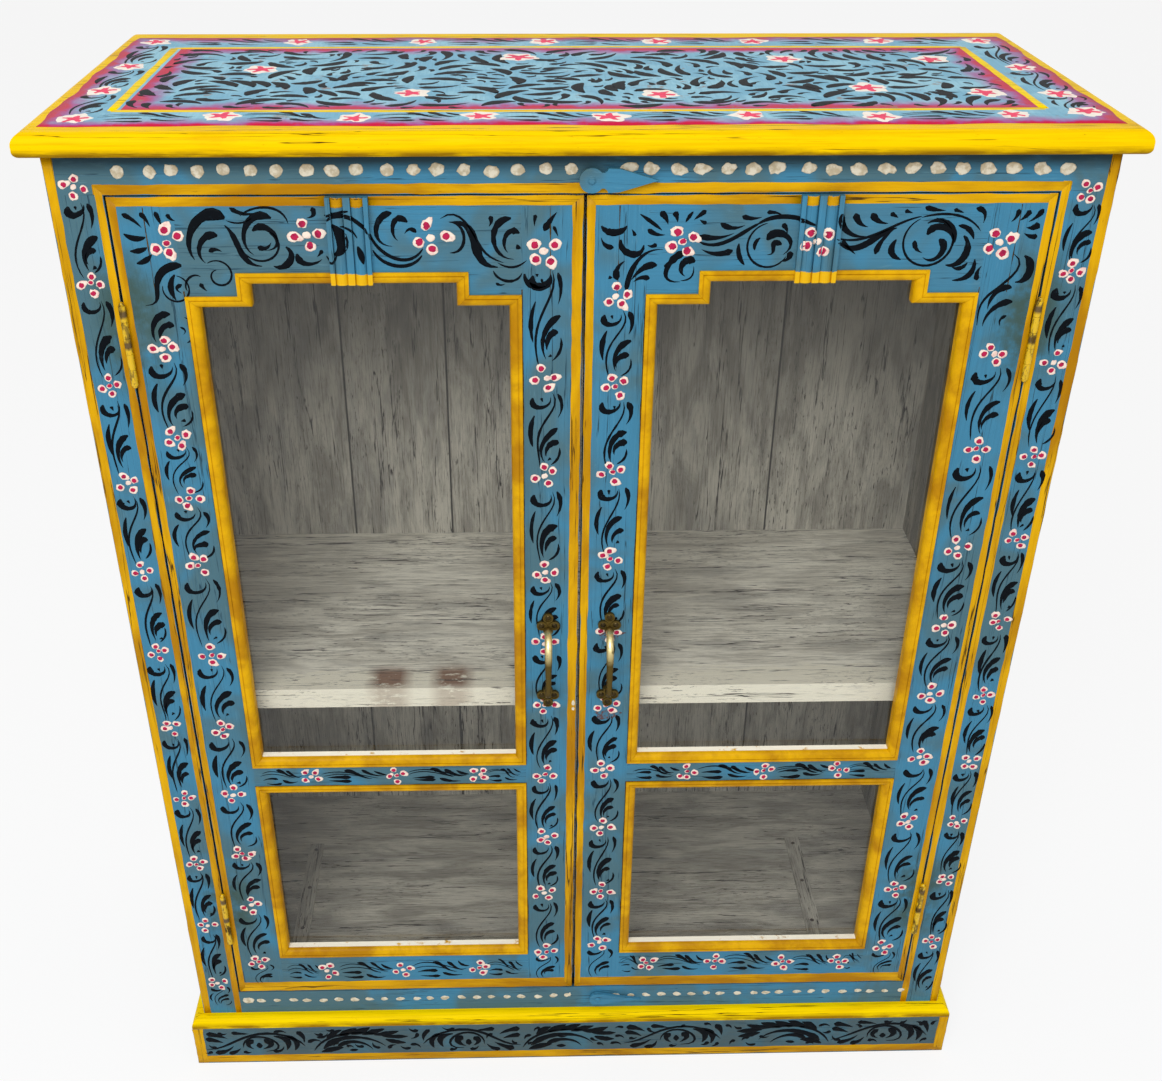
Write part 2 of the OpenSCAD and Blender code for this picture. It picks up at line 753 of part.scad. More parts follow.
// Where the screws of the handle's roses go, heads pointing out of the door
module rose_screw_places() translate([-handle_x, 0, handle_z]) for (up = [1, -1])
    for (lobe = lobes) translate([lobe[0], 0, up * lobe[1]]) rotate([90, 0, 0]) children();

// A rose's plate, with a rim round each of the three screws
module rose() {
    seen_from_front(-rose_t, 0) {
        translate([0, rose_z]) circle(lobe_r);
        translate([0, handle_span / 2]) circle(foot_r);
        translate([-foot_r / 2, handle_span / 2]) square([foot_r, foot_drop]);
    }
    for (lobe = lobes) translate([lobe[0], 0, lobe[1]]) rotate([90, 0, 0]) difference() {
        cylinder(r = lobe_r, h = rose_t + lobe_rim_h);
        translate([0, 0, rose_t]) cylinder(r = lobe_r - lobe_rim_w, h = lobe_rim_h + past);
    }
}

// A cast bow with a trefoil rose at each end, standing on the meeting stile
module bow_handle() difference() {
    translate([-handle_x, 0, handle_z]) {
        for (up = [0, 1]) mirror([0, 0, up]) {
            rose();
            translate([0, -rose_t, handle_span / 2]) rotate([90, 0, 0])
                cylinder(r = foot_r - 0.5, h = foot_h);
        }
        translate([0, bow_y, handle_span / 2 - bow_bend_r]) rotate([90, 0, 90]) rotate(90)
            rotate_extrude(angle = 90) translate([bow_bend_r, 0]) circle(bow_top_r);
        translate([0, bow_y, bow_bend_r - handle_span / 2]) rotate([90, 0, 90]) rotate(180)
            rotate_extrude(angle = 90) translate([bow_bend_r, 0]) circle(bow_bottom_r);
        translate([0, bow_y - bow_bend_r, bow_bend_r - handle_span / 2])
            cylinder(r1 = bow_bottom_r, r2 = bow_top_r, h = handle_span - 2 * bow_bend_r);
    }
    rose_screw_places() translate([0, 0, -past])
        cylinder(r = screw_r + screw_fit, h = rose_t + 2 * past);
}

module door_screws() {
    color(worn_brass) for (z = leaf_z) translate([pin_x, 0, z]) leaf_screw_places() flat_screw();
    color(brass) rose_screw_places() translate([0, 0, rose_t]) round_screw();
}

module left_hinge_stile() color(blue) placed() hinge_stile();
module left_meeting_stile() color(blue) placed() meeting_stile();
module left_top_rail() color(blue) placed() top_rail();
module left_mid_rail() color(blue) placed() mid_rail();
module left_bottom_rail() color(blue) placed() bottom_rail();
module left_reeded_block() color(blue) placed() reeded_block();
module left_upper_pane() color(glass) placed() pane(mid_top, head_z);
module left_lower_pane() color(glass) placed() pane(bottom_top, mid_rail_z);
module left_upper_bead() color(yellow) placed() bead_lengths(upper_loop);
module left_lower_bead() color(yellow) placed() bead_lengths(lower_loop);
module left_glazing_fillets() color(grey_wash) placed() {
    fillets(mid_top, head_z);
    fillets(bottom_top, mid_rail_z);
}
module left_hinge_leaves() color(worn_brass) placed()
    for (z = leaf_z) translate([pin_x, 0, z]) hinge_leaf(1);
module left_handle() color(brass) placed() bow_handle();
module left_door_screws() placed() door_screws();

module right_hinge_stile() color(blue) placed() mirror([1, 0, 0]) hinge_stile();
module right_meeting_stile() color(blue) placed() mirror([1, 0, 0]) meeting_stile();
module right_top_rail() color(blue) placed() mirror([1, 0, 0]) top_rail();
module right_mid_rail() color(blue) placed() mirror([1, 0, 0]) mid_rail();
module right_bottom_rail() color(blue) placed() mirror([1, 0, 0]) bottom_rail();
module right_reeded_block() color(blue) placed() mirror([1, 0, 0]) reeded_block();
module right_upper_pane() color(glass) placed() mirror([1, 0, 0]) pane(mid_top, head_z);
module right_lower_pane() color(glass) placed() mirror([1, 0, 0]) pane(bottom_top, mid_rail_z);
module right_upper_bead() color(yellow) placed() mirror([1, 0, 0]) bead_lengths(upper_loop);
module right_lower_bead() color(yellow) placed() mirror([1, 0, 0]) bead_lengths(lower_loop);
module right_glazing_fillets() color(grey_wash) placed() mirror([1, 0, 0]) {
    fillets(mid_top, head_z);
    fillets(bottom_top, mid_rail_z);
}
module right_hinge_leaves() color(worn_brass) placed() mirror([1, 0, 0])
    for (z = leaf_z) translate([pin_x, 0, z]) hinge_leaf(1);
module right_handle() color(brass) placed() mirror([1, 0, 0]) bow_handle();
module right_door_screws() placed() mirror([1, 0, 0]) door_screws();

top_board();
left_side();
right_side();
back_board(0);  // back_board_1
back_board(1);  // back_board_2
back_board(2);  // back_board_3
back_board(3);  // back_board_4
back_board(4);  // back_board_5
shelf_board_front();
shelf_board_back();
floor_board_front();
floor_board_back();
side_cleats();
floor_battens();
batten_nails();
left_face_stile();
right_face_stile();
frieze_rail();
sill_rail();
door_stop();
plinth_front();
plinth_left();
plinth_right();
plinth_moulding_front();
plinth_moulding_left();
plinth_moulding_right();
hinge_frame_leaves();
hinge_pins();
frame_screws();
top_latch();
bottom_latch();
left_hinge_stile();
left_meeting_stile();
left_top_rail();
left_mid_rail();
left_bottom_rail();
left_reeded_block();
left_upper_pane();
left_lower_pane();
left_upper_bead();
left_lower_bead();
left_glazing_fillets();
left_hinge_leaves();
left_handle();
left_door_screws();
right_hinge_stile();
right_meeting_stile();
right_top_rail();
right_mid_rail();
right_bottom_rail();
right_reeded_block();
right_upper_pane();
right_lower_pane();
right_upper_bead();
right_lower_bead();
right_glazing_fillets();
right_hinge_leaves();
right_handle();
right_door_screws();
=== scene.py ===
# %% [markdown]
# # A hand-painted cabinet with two glazed doors
# A boarded cabinet stands on a plinth. It was painted blue, lined in yellow and then covered in
# brush strokes: black leaves, cream petals and crimson dabs. The frame below holds its solids,
# already in place and in metres. Everything here is either a finish for one of those solids or
# a new piece that rides on one of the bodies, so it follows the doors when they swing.

# %% Load the frame
import math

import bpy
import numpy as np
from mathutils import Matrix, Vector


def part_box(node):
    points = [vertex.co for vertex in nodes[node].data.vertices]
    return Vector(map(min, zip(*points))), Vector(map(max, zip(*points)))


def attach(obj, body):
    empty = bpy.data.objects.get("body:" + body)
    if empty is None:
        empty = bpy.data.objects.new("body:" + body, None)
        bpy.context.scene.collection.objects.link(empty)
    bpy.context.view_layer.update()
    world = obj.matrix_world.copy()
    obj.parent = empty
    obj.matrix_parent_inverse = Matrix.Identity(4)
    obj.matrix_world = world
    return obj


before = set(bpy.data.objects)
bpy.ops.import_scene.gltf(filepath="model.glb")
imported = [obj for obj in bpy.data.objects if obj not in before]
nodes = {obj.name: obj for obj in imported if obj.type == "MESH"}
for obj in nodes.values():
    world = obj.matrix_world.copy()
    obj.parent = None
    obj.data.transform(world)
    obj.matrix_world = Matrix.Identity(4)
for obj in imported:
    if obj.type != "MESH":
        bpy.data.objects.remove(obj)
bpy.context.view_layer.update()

# %% [markdown]
# Painted ornament is easier to think about in millimetres, so the drawing below uses them and
# one factor turns them into Blender's metres. Every place comes from the solids: a helper reads
# where a piece starts and ends along one axis.

# %% Measure the solids
MM = 0.001
X, Y, Z = 0, 1, 2


def low(node, axis):
    """The lowest coordinate of a solid along an axis, in millimetres."""
    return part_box(node)[0][axis] / MM


def high(node, axis):
    """The highest coordinate of a solid along an axis, in millimetres."""
    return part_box(node)[1][axis] / MM


front_y = low("frieze_rail", Y)
back_y = high("back_board_1", Y)
half_w = high("frieze_rail", X)
top_z = high("top_board", Z)
print(f"front at {front_y:.2f}, half width {half_w:.1f}, top at {top_z:.1f} mm")

# %% [markdown]
# ## Camera
# The photograph looks down at the cabinet from the front, a little left of its middle. The
# camera stands where the lines of the frame meet their vanishing points, at the height of a
# standing person. A small shift puts the cabinet where the photograph has it.

# %% Place the camera
CAMERA_AT = (-0.05639, -1.33717, 1.41881)
PITCH_DOWN, YAW_RIGHT, ROLL = 32.03, 1.44, 0.19
LENS_MM, SENSOR_MM = 42.726, 36.0
SHIFT_X, SHIFT_Y = 0.0251, 0.0329

scene = bpy.context.scene
camera_data = bpy.data.cameras.new("camera")
camera_data.lens, camera_data.sensor_width = LENS_MM, SENSOR_MM
camera_data.shift_x, camera_data.shift_y = SHIFT_X, SHIFT_Y
camera = bpy.data.objects.new("camera", camera_data)
scene.collection.objects.link(camera)
scene.camera = camera

pitch, yaw, roll = (math.radians(a) for a in (PITCH_DOWN, YAW_RIGHT, ROLL))
forward = np.array([math.sin(yaw) * math.cos(pitch), math.cos(yaw) * math.cos(pitch),
                    -math.sin(pitch)])
level = np.array([math.cos(yaw), -math.sin(yaw), 0.0])
upward = np.cross(level, forward)
right = math.cos(roll) * level + math.sin(roll) * upward
upward = np.cross(right, forward)
turn = np.eye(4)
turn[:3] = np.column_stack([right, upward, -forward, CAMERA_AT])
camera.matrix_world = Matrix(turn.tolist())
print("camera stands at", CAMERA_AT)

# %% [markdown]
# ## Light
# The cabinet was lit softly from in front and above: the top and the plinth moulding are the
# brightest faces, and the shelf throws its shade into the lower part. One large lamp does that,
# and the world fills the shadows. The world looks white to the camera, to gloss and through
# glass, but it lights the object at a plain level.

# %% Light the cabinet
WORLD_LIGHT = 0.62
LAMP_WATTS = 74
LAMP_SIZE = 1.9
LAMP_AT = (-0.55, -2.55, 3.05)
LAMP_AIM = (0.0, 0.0, 0.6)


def srgb(code):
    """Turns an sRGB hex code into the linear colour that Blender computes with."""
    parts = np.array([int(code[i:i + 2], 16) for i in (1, 3, 5)]) / 255
    linear = np.where(parts <= 0.04045, parts / 12.92, ((parts + 0.055) / 1.055) ** 2.4)
    return (*linear.tolist(), 1.0)


def add(tree, kind, wires=None, **settings):
    """Adds one shader node. Settings are its own properties. Wires fill its sockets, by name
    or number, with a plain value or a hex colour, with a socket, or with another node, which
    gives its first live output."""
    node = tree.nodes.new("ShaderNode" + kind)
    for name, value in settings.items():
        setattr(node, name, value)
    for name, value in (wires or {}).items():
        socket = node.inputs[name] if isinstance(name, int) else next(
            s for s in node.inputs if s.name == name and s.enabled)
        if isinstance(value, str):
            value = srgb(value)
        if isinstance(value, bpy.types.Node):
            value = next(o for o in value.outputs if o.enabled)
        if isinstance(value, bpy.types.NodeSocket):
            tree.links.new(value, socket)
        else:
            socket.default_value = value
    return node


scene.view_settings.view_transform = "Standard"
world = bpy.data.worlds.new("studio")
scene.world = world
world.use_nodes = True
sky = world.node_tree
sky.nodes.clear()
rays = add(sky, "LightPath")
seen = add(sky, "Math", {0: rays.outputs["Is Camera Ray"], 1: rays.outputs["Is Glossy Ray"]},
           operation="MAXIMUM")
seen = add(sky, "Math", {0: seen, 1: rays.outputs["Is Transmission Ray"]}, operation="MAXIMUM")
dim = add(sky, "Background", {"Color": (1, 1, 1, 1), "Strength": WORLD_LIGHT})
white = add(sky, "Background", {"Color": (1, 1, 1, 1), "Strength": 1.0})
add(sky, "OutputWorld", {"Surface": add(sky, "MixShader", {0: seen, 1: dim, 2: white})})

lamp = bpy.data.lights.new("window_light", "AREA")
lamp.shape, lamp.size, lamp.energy = "SQUARE", LAMP_SIZE, LAMP_WATTS
lamp_object = bpy.data.objects.new("window_light", lamp)
scene.collection.objects.link(lamp_object)
lamp_object.location = LAMP_AT
lamp_object.rotation_euler = (Vector(LAMP_AIM) - Vector(LAMP_AT)).to_track_quat(
    "-Z", "Y").to_euler()
print("lamp", LAMP_WATTS, "W, world", WORLD_LIGHT)

# %% [markdown]
# The floor is a plain sheet of white card. Four fifths of what the camera sees of it is its own
# white, so it stays bright. The rest is lit, so it keeps the shadow that the cabinet throws.

# %% Lay the floor
FLOOR_HALF = 12.0
FLOOR_GLOW = 0.8

floor_mesh = bpy.data.meshes.new("floor")
floor_mesh.from_pydata([(x * FLOOR_HALF, y * FLOOR_HALF, 0.0)
                        for x, y in ((-1, -1), (1, -1), (1, 1), (-1, 1))], [], [(0, 1, 2, 3)])
floor = bpy.data.objects.new("floor", floor_mesh)
scene.collection.objects.link(floor)
card = bpy.data.materials.new("white_card")
card.use_nodes = True
tree = card.node_tree
tree.nodes.clear()
lit = add(tree, "BsdfDiffuse", {"Color": (0.9, 0.9, 0.9, 1)})
glow = add(tree, "Emission", {"Color": (1, 1, 1, 1), "Strength": 1.0})
share = add(tree, "Math", {0: add(tree, "LightPath").outputs["Is Camera Ray"], 1: FLOOR_GLOW},
            operation="MULTIPLY")
add(tree, "OutputMaterial", {"Surface": add(tree, "MixShader", {0: share, 1: lit, 2: glow})})
floor_mesh.materials.append(card)
print("floor", 2 * FLOOR_HALF, "m wide")

# %% [markdown]
# ## Finishes
# Every finish starts the same way: an empty material, and the object's own coordinates to hang
# the patterns on. Object coordinates stay fixed to a piece when it moves, so the brush marks
# travel with a door. It ends the same way too: a Principled surface with a bump.

# %% Start and end a material


def begin(name):
    """An empty material, with its node tree and the object coordinates in metres."""
    material = bpy.data.materials.new(name)
    material.use_nodes = True
    material.node_tree.nodes.clear()
    return material, material.node_tree, add(
        material.node_tree, "TexCoord").outputs["Object"]


def end(tree, colour, roughness, relief, depth, shine=0.2, metallic=0.0):
    """Closes a material with a Principled surface. Relief is a pattern from 0 to 1, and depth
    is how many millimetres it stands up. Shine is the specular level: 0.5 is a smooth plastic,
    and a matt paint has less."""
    bump = add(tree, "Bump", {"Height": relief, "Distance": depth * MM, "Strength": 1.0})
    surface = add(tree, "BsdfPrincipled", {
        "Base Color": colour, "Roughness": roughness, "Specular IOR Level": shine,
        "Metallic": metallic, "Normal": bump})
    add(tree, "OutputMaterial", {"Surface": surface})


def eased(stretch, share):
    """Stretch factors that keep only a share of what they add to 1."""
    return tuple(1 + (factor - 1) * share for factor in stretch)


def cloud(tree, at, size, stretch, shift, **noise):
    """Fractal noise with clouds about size millimetres across, drawn out along each axis by the
    stretch factors. Another shift gives another part of the same noise."""
    placed = add(tree, "Mapping", {
        "Vector": at, "Location": (shift, shift, shift),
        "Scale": tuple(1 / (size * MM * factor) for factor in stretch)})
    return add(tree, "TexNoise", {"Vector": placed, "Scale": 1.0, **noise})


def drifts(tree, at, size, edges, shift=0.0, stretch=(1, 1, 1), detail=5.0, rough=0.6,
           warp=0.0, strength=1.0):
    """A mask of blotches: a cloud passed through a soft step between two edges. It runs from 0
    to the strength, and warp pulls it into swirls."""
    noise = cloud(tree, at, size, stretch, shift, Detail=detail, Roughness=rough,
                  Distortion=warp)
    return add(tree, "MapRange", {"Value": noise, "From Min": edges[0], "From Max": edges[1],
                                  "To Max": strength}, interpolation_type="SMOOTHSTEP")


def cracks(tree, at, size, width, stretch, shift):
    """A mask of thin broken lines: a line runs where a stretched cloud is nearer to its middle
    value than the width, and a coarser cloud lets only parts of it show."""
    noise = cloud(tree, at, size, stretch, shift, Detail=4.0)
    off = add(tree, "Math", {0: add(tree, "Math", {0: noise, 1: 0.5}, operation="SUBTRACT")},
              operation="ABSOLUTE")
    line = add(tree, "MapRange", {"Value": off, "From Min": width, "From Max": width * 0.4})
    shown = drifts(tree, at, size * 3, (0.47, 0.56), shift + 3, tuple(s * 0.4 for s in stretch))
    return overlap(tree, line, shown)


def edge_mask(tree, at, axis, edge, reach):
    """A mask that is 1 close to an edge, which is a place along an axis in millimetres, and
    falls to 0 at the reach from it."""
    place = add(tree, "SeparateXYZ", {"Vector": at}).outputs[axis]
    gap = add(tree, "Math", {0: place, 1: edge * MM}, operation="SUBTRACT")
    return add(tree, "MapRange", {
        "Value": add(tree, "Math", {0: gap}, operation="ABSOLUTE"),
        "From Min": reach * MM, "From Max": reach * 0.4 * MM})


def ramp(tree, at, axis, start, stop, most=1.0, waver=None):
    """A mask that climbs along an axis, from 0 at the start to the most at the stop, both in
    millimetres. Waver is a pattern that shifts it to and fro, in metres."""
    place = add(tree, "SeparateXYZ", {"Vector": at}).outputs[axis]
    if waver is not None:
        place = add(tree, "Math", {0: place, 1: waver}, operation="ADD")
    return add(tree, "MapRange", {"Value": place, "From Min": start * MM, "From Max": stop * MM,
                                  "To Max": most})


def overlap(tree, mask, *others):
    """A mask of where all these masks show: their product."""
    for other in others:
        mask = add(tree, "Math", {0: mask, 1: other}, operation="MULTIPLY")
    return mask


def coats(tree, ground, *layers):
    """Paint over paint: each layer is a colour behind the masks it shows through, and is laid
    over what came before."""
    for *masks, colour in layers:
        ground = add(tree, "Mix", {"Factor": overlap(tree, *masks), "A": ground, "B": colour},
                     data_type="RGBA")
    return ground


print("finishes start from", srgb("#3d84b4"))

# %% [markdown]
# ### Blue milk paint
# The ground is a thin matt paint, brushed on by hand over bare boards. It went on unevenly, so
# it drifts between clear blue and a greyer green where the wood's tone comes through, with fine
# streaks along each board. Each kind of board has its own version: the streaks run the way of
# the board, old oil stains it by the hinges, and painted shade darkens the gaps and, as a
# painted shadow, the frieze under the top's ledge.

# %% Mix the blue paint
# How many times brush streaks are longer than wide, along X, Y and Z
UPRIGHT, LEVEL = (1, 1, 40), (40, 1, 1)
HINGE_STAINS = [(x, z) for x in (-398, 398) for z in (962, 255)]
# A stain is full up to its core and ends at its reach, and is so many times as high as wide
STAIN_CORE, STAIN_REACH, STAIN_NARROW = 30, 95, 2.2
# A painted shadow under the top's ledge reaches so far, and the painted gap shade stops so short
# of the faces
LEDGE_SHADOW_REACH, UNSHADED_LIP = 19, 0.6


def blue_paint(name, along, clear="#3d7f9f", grey="#496b75", greyness=0.5, yellow_below=None,
               dark_behind=None, stained=(), shaded_under=None):
    """Blue paint with grey drifts, brush streaks along the board and small worn specks. The
    reeded blocks turn yellow below a height in millimetres, with a wavering brushed edge. The
    edges of doors and frame are darkened, most of all halfway between the front face, which is
    at dark_behind, and the back face: painted shade for the gaps, mixed with grime. Old oil from
    the hinges has stained it in long soft patches round the given points of the front, and a
    painted shadow lies under the ledge at the height given last."""
    material, tree, at = begin(name)
    streak = drifts(tree, at, 1.6, (0.3, 0.75), stretch=along, rough=0.7)
    ground = coats(
        tree, grey,
        (drifts(tree, at, 105, (greyness - 0.11, greyness + 0.09), detail=3, warp=0.6), clear),
        (drifts(tree, at, 1.6, (0.3, 0.75), stretch=along, rough=0.7, strength=0.30),
         "#2b5f7a"),
        (drifts(tree, at, 2.6, (0.60, 0.72), 3.0, eased(along, 1 / 6), 6, strength=0.16),
         "#78a5b6"),
        (drifts(tree, at, 3.2, (0.72, 0.76), 7.0, detail=8, rough=0.75), "#28404e"),
        (cracks(tree, at, 6.0, 0.012, along, 5.0), "#20404f"))
    for x, z in stained:
        drawn = add(tree, "Mapping", {"Vector": at, "Scale": (STAIN_NARROW, 0, 1),
                                      "Location": (-STAIN_NARROW * x * MM, 0, -z * MM)})
        away = add(tree, "VectorMath", {0: drawn}, operation="LENGTH")
        oil = add(tree, "MapRange", {"Value": away, "From Min": STAIN_REACH * MM,
                                     "From Max": STAIN_CORE * MM},
                  interpolation_type="SMOOTHSTEP")
        ground = coats(tree, ground,
                       (oil, drifts(tree, at, 24, (0.28, 0.62), 9.0), "#3a5350"))
    if dark_behind is not None:
        # Painted shade in the gaps round doors and frame, mixed with grime
        half = (high("left_hinge_stile", Y) - dark_behind) / 2
        gap_shade_and_grime = edge_mask(tree, at, Y, dark_behind + half, half - UNSHADED_LIP)
        ground = coats(tree, ground, (gap_shade_and_grime, "#1b2226"))
    # A painted shadow under the ledge of the top, on the frieze
    if shaded_under is not None:
        ground = coats(tree, ground, (edge_mask(tree, at, Z, shaded_under, LEDGE_SHADOW_REACH), drifts(
            tree, at, 14, (0.1, 0.5), 4.0, (4, 1, 1)), "#1d3a47"))
    if yellow_below is not None:
        waver = drifts(tree, at, 8.0, (0.3, 0.7), strength=1.6 * MM)
        edge = ramp(tree, at, Z, yellow_below + 0.5, yellow_below + 1.1, waver=waver)
        ground = coats(tree, "#e0ae00", (edge, ground))
    end(tree, ground, 0.5, streak, 0.12)
    return material


blue_upright = blue_paint("milk_paint_blue_upright", UPRIGHT, dark_behind=front_y,
                          stained=HINGE_STAINS)
blue_level = blue_paint("milk_paint_blue_level", LEVEL, greyness=0.52, dark_behind=front_y,
                        shaded_under=low("top_board", Z))
blue_side = blue_paint("milk_paint_blue_side", UPRIGHT)
blue_iron = blue_paint("milk_paint_blue_iron", LEVEL, greyness=0.46)
blue_block = blue_paint("milk_paint_blue_block", UPRIGHT,
                        yellow_below=high("left_upper_bead", Z))
blue_plinth = blue_paint("milk_paint_blue_plinth", LEVEL, "#426c7b", "#47595c", 0.56)
print("blue paints:", blue_upright.name, blue_level.name)

# %% [markdown]
# ### Yellow enamel
# The lines and edges were painted last but one, in an oil enamel: thicker than the blue, a
# little glossy, and browned where hands and dust reached it. Lower edges get painted shade, and
# a white line along the glass is putty with a painted highlight.

# %% Mix the yellow enamel
# The painted shade of a lower edge reaches so far. The white line along the glass is putty
# with a painted highlight: it is so wide, and starts and is full at these depths in the bead
LOWER_EDGE_SHADE_REACH, GLASS_LINE_REACH = 8.5, 1.6
GLASS_LINE_FROM, GLASS_LINE_FULL = front_y + 4.2, front_y + 5.0


def yellow_enamel(name, along, clean="#dca800", brown="#a87300", amount=0.48, darker_at=(),
                  putty_and_highlight=(), cracked=True, shine=0.1):
    """Yellow enamel with browned patches, dark specks, hair cracks along the grain and long
    soft brush marks. It is painted darker near the given lower edges, as shade, and shows a white
    line of putty with a painted highlight at the other given heights, only as deep as the glass
    lies."""
    material, tree, at = begin(name)
    softer = eased(along, 1 / 12)
    streak = drifts(tree, at, 2.2, (0.3, 0.8), stretch=along, rough=0.65)
    coat = coats(
        tree, brown,
        (drifts(tree, at, 42, (amount - 0.14, amount + 0.16), stretch=softer, warp=0.4), clean),
        (drifts(tree, at, 2.2, (0.42, 0.8), stretch=along, rough=0.65, strength=0.35),
         "#9a6600"),
        (drifts(tree, at, 2.6, (0.62, 0.72), 9.0, softer, 7, 0.75, strength=0.55), "#7d5406"),
        (drifts(tree, at, 4.5, (0.695, 0.735), 5.0, detail=8, rough=0.8), "#5b3a10"))
    if cracked:
        coat = coats(tree, coat, (cracks(tree, at, 7.0, 0.014, along, 8.0), "#4d3408"))
    # Painted shade along the lower edges
    for level in darker_at:
        coat = coats(tree, coat, (edge_mask(tree, at, Z, level, LOWER_EDGE_SHADE_REACH), drifts(
            tree, at, 11, (0.25, 0.6), 12.0, softer), "#9c7408"))
    # A white line along the glass: putty with a painted highlight
    for level in putty_and_highlight:
        coat = coats(tree, coat, (
            edge_mask(tree, at, Z, level, GLASS_LINE_REACH), ramp(tree, at, Y, GLASS_LINE_FROM, GLASS_LINE_FULL),
            drifts(tree, at, 12, (0.28, 0.42), 14.0), "#fbf6e4"))
    end(tree, coat, 0.4, streak, 0.10, shine)
    return material


yellow_upright = yellow_enamel("enamel_yellow_upright", UPRIGHT)
yellow_level = yellow_enamel("enamel_yellow_level", LEVEL)
BEAD_W = 11
yellow_bead = yellow_enamel("enamel_yellow_bead", (4, 4, 4), "#dca800", "#b07a00", cracked=False,
                            putty_and_highlight=(low("left_upper_bead", Z) + BEAD_W,
                                   low("left_lower_bead", Z) + BEAD_W))
# Lighter copies of the enamel for the faces that the lamp falls on, the top and the moulding:
# painted light
yellow_lit = yellow_enamel("enamel_yellow_lit", LEVEL, "#f9d600", "#ebbd00", 0.36,
                              darker_at=[low("plinth_moulding_front", Z)], shine=0.02)
yellow_lit_edge = yellow_enamel("enamel_yellow_lit_edge", LEVEL, "#f4c800", "#dda800", 0.36,
                             darker_at=[low("top_board", Z)], shine=0.02)
print("yellow enamels:", yellow_upright.name, yellow_level.name)

# %% [markdown]
# ### Limed boards
# Inside, the bare boards are washed with a grey-white lime that caught in the grain. The grain
# is a noise drawn out along the board, twenty-four times as long as it is wide, with dark pores
# where it dips lowest. The wash is thicker in some places, and the shelf's front edge is
# chalk white where it was touched up. Painted shade darkens the back boards towards the top,
# the shelf takes a lighter copy of the wash, painted light, and the inner sides a darker one,
# painted shade.

# %% Wash the boards
GRAIN_UP, GRAIN_ACROSS, GRAIN_IN = (1, 1, 24), (24, 1, 1), (1, 24, 1)
# How far the painted shade at the top reaches down, and the dark of a joint to both sides
TOP_SHADE_REACH, JOINT_REACH = 330, 1.2
# Two bare spots in the chalk of the shelf: the middle and the reach of each along the edge,
# how far in front of the chalk's border they lie, and their reach from front to back
SPOTS = (-200, 27), (-133, 26)
SPOTS_BEFORE, SPOTS_DEEP = 15, 26


def limed_board(name, along, dark="#59544d", mid="#9d9990", chalk="#d2cec4", shift=0.0,
                joints=(), chalk_from=None, shaded_up_to=None):
    """Grey-washed softwood: streaky grain, pits and cracks, and drifts of chalky wash. Joints
    are dark lines across it. In front of chalk_from somebody has touched it up with solid
    chalk. Towards the height given last it is painted darker, as shade under the top."""
    material, tree, at = begin(name)
    broad, fine = eased(along, 0.15), eased(along, 0.3)
    tone = coats(
        tree, mid,
        (drifts(tree, at, 26, (0.36, 0.62), shift, broad, 6, 0.65, 0.6), chalk),
        (drifts(tree, at, 30, (0.52, 0.66), shift + 2, broad, 5, 0.6, strength=0.4), "#8d8c8a"),
        (drifts(tree, at, 1.6, (0.54, 0.32), shift, along, 7, 0.75, strength=0.7), dark))
    # Painted shade, darkest at the top of the inside
    if shaded_up_to is not None:
        painted_top_shade = ramp(tree, at, Z, shaded_up_to - TOP_SHADE_REACH, shaded_up_to, 0.98)
        tone = coats(tree, tone, (painted_top_shade, "#2f2b20"))
    if chalk_from is not None:
        waver = drifts(tree, at, 9, (0.3, 0.7), 5.0, broad, strength=22 * MM)
        left_spot, right_spot = (edge_mask(tree, at, X, *spot) for spot in SPOTS)
        tone = coats(
            tree, tone,
            (ramp(tree, at, Y, chalk_from + 14, chalk_from + 4, waver=waver),
             drifts(tree, at, 2.2, (0.30, 0.50), 6.0, fine, 6, 0.75), "#f4f0e2"),
            (add(tree, "Math", {0: left_spot, 1: right_spot}, operation="MAXIMUM"),
             edge_mask(tree, at, Y, chalk_from - SPOTS_BEFORE, SPOTS_DEEP),
             drifts(tree, at, 8, (0.36, 0.47), 8.0, (2.2, 1, 1), 7, 0.7), "#8b6a55"))
    tone = coats(
        tree, tone,
        (drifts(tree, at, 1.7, (0.60, 0.66), shift + 4, fine, 4, 0.6),
         drifts(tree, at, 46, (0.42, 0.60), shift + 6, broad), "#332e28"),
        (cracks(tree, at, 9.0, 0.014, along, shift + 9), "#2b2621"),
        (drifts(tree, at, 5.0, (0.70, 0.76), shift + 13, broad, 8, 0.75), "#5a463a"))
    for edge in joints:
        tone = coats(tree, tone, (edge_mask(tree, at, X, edge, JOINT_REACH), "#38342e"))
    grain = drifts(tree, at, 1.6, (0.2, 0.8), shift, along, 7, 0.72)
    end(tree, tone, 0.85, grain, 0.35, 0.15)
    return material


back_boards = {}
for number in range(1, 6):
    node = f"back_board_{number}"
    # The back boards get painted shade towards the top of the upper panes
    back_boards[node] = limed_board(
        f"limed_back_board_{number}", GRAIN_UP, shift=7.3 * number,
        joints=(low(node, X), high(node, X)), shaded_up_to=high("left_upper_pane", Z))
limed_level = limed_board("limed_softwood_level", GRAIN_ACROSS)
# The shelf boards take a lighter copy of the wash: painted light, where the lamp falls on the
# shelf
LIT_SHELF_TONES = "#645f56", "#d4d0c6", "#faf7ed"
limed_lit_shelf = limed_board("limed_softwood_shelf_lit", GRAIN_ACROSS, *LIT_SHELF_TONES)
limed_edge = limed_board("limed_softwood_chalked_lit", GRAIN_ACROSS, *LIT_SHELF_TONES,
                         chalk_from=low("shelf_board_front", Y) + 34)
limed_batten = limed_board("limed_softwood_batten", GRAIN_IN, shift=31.0)
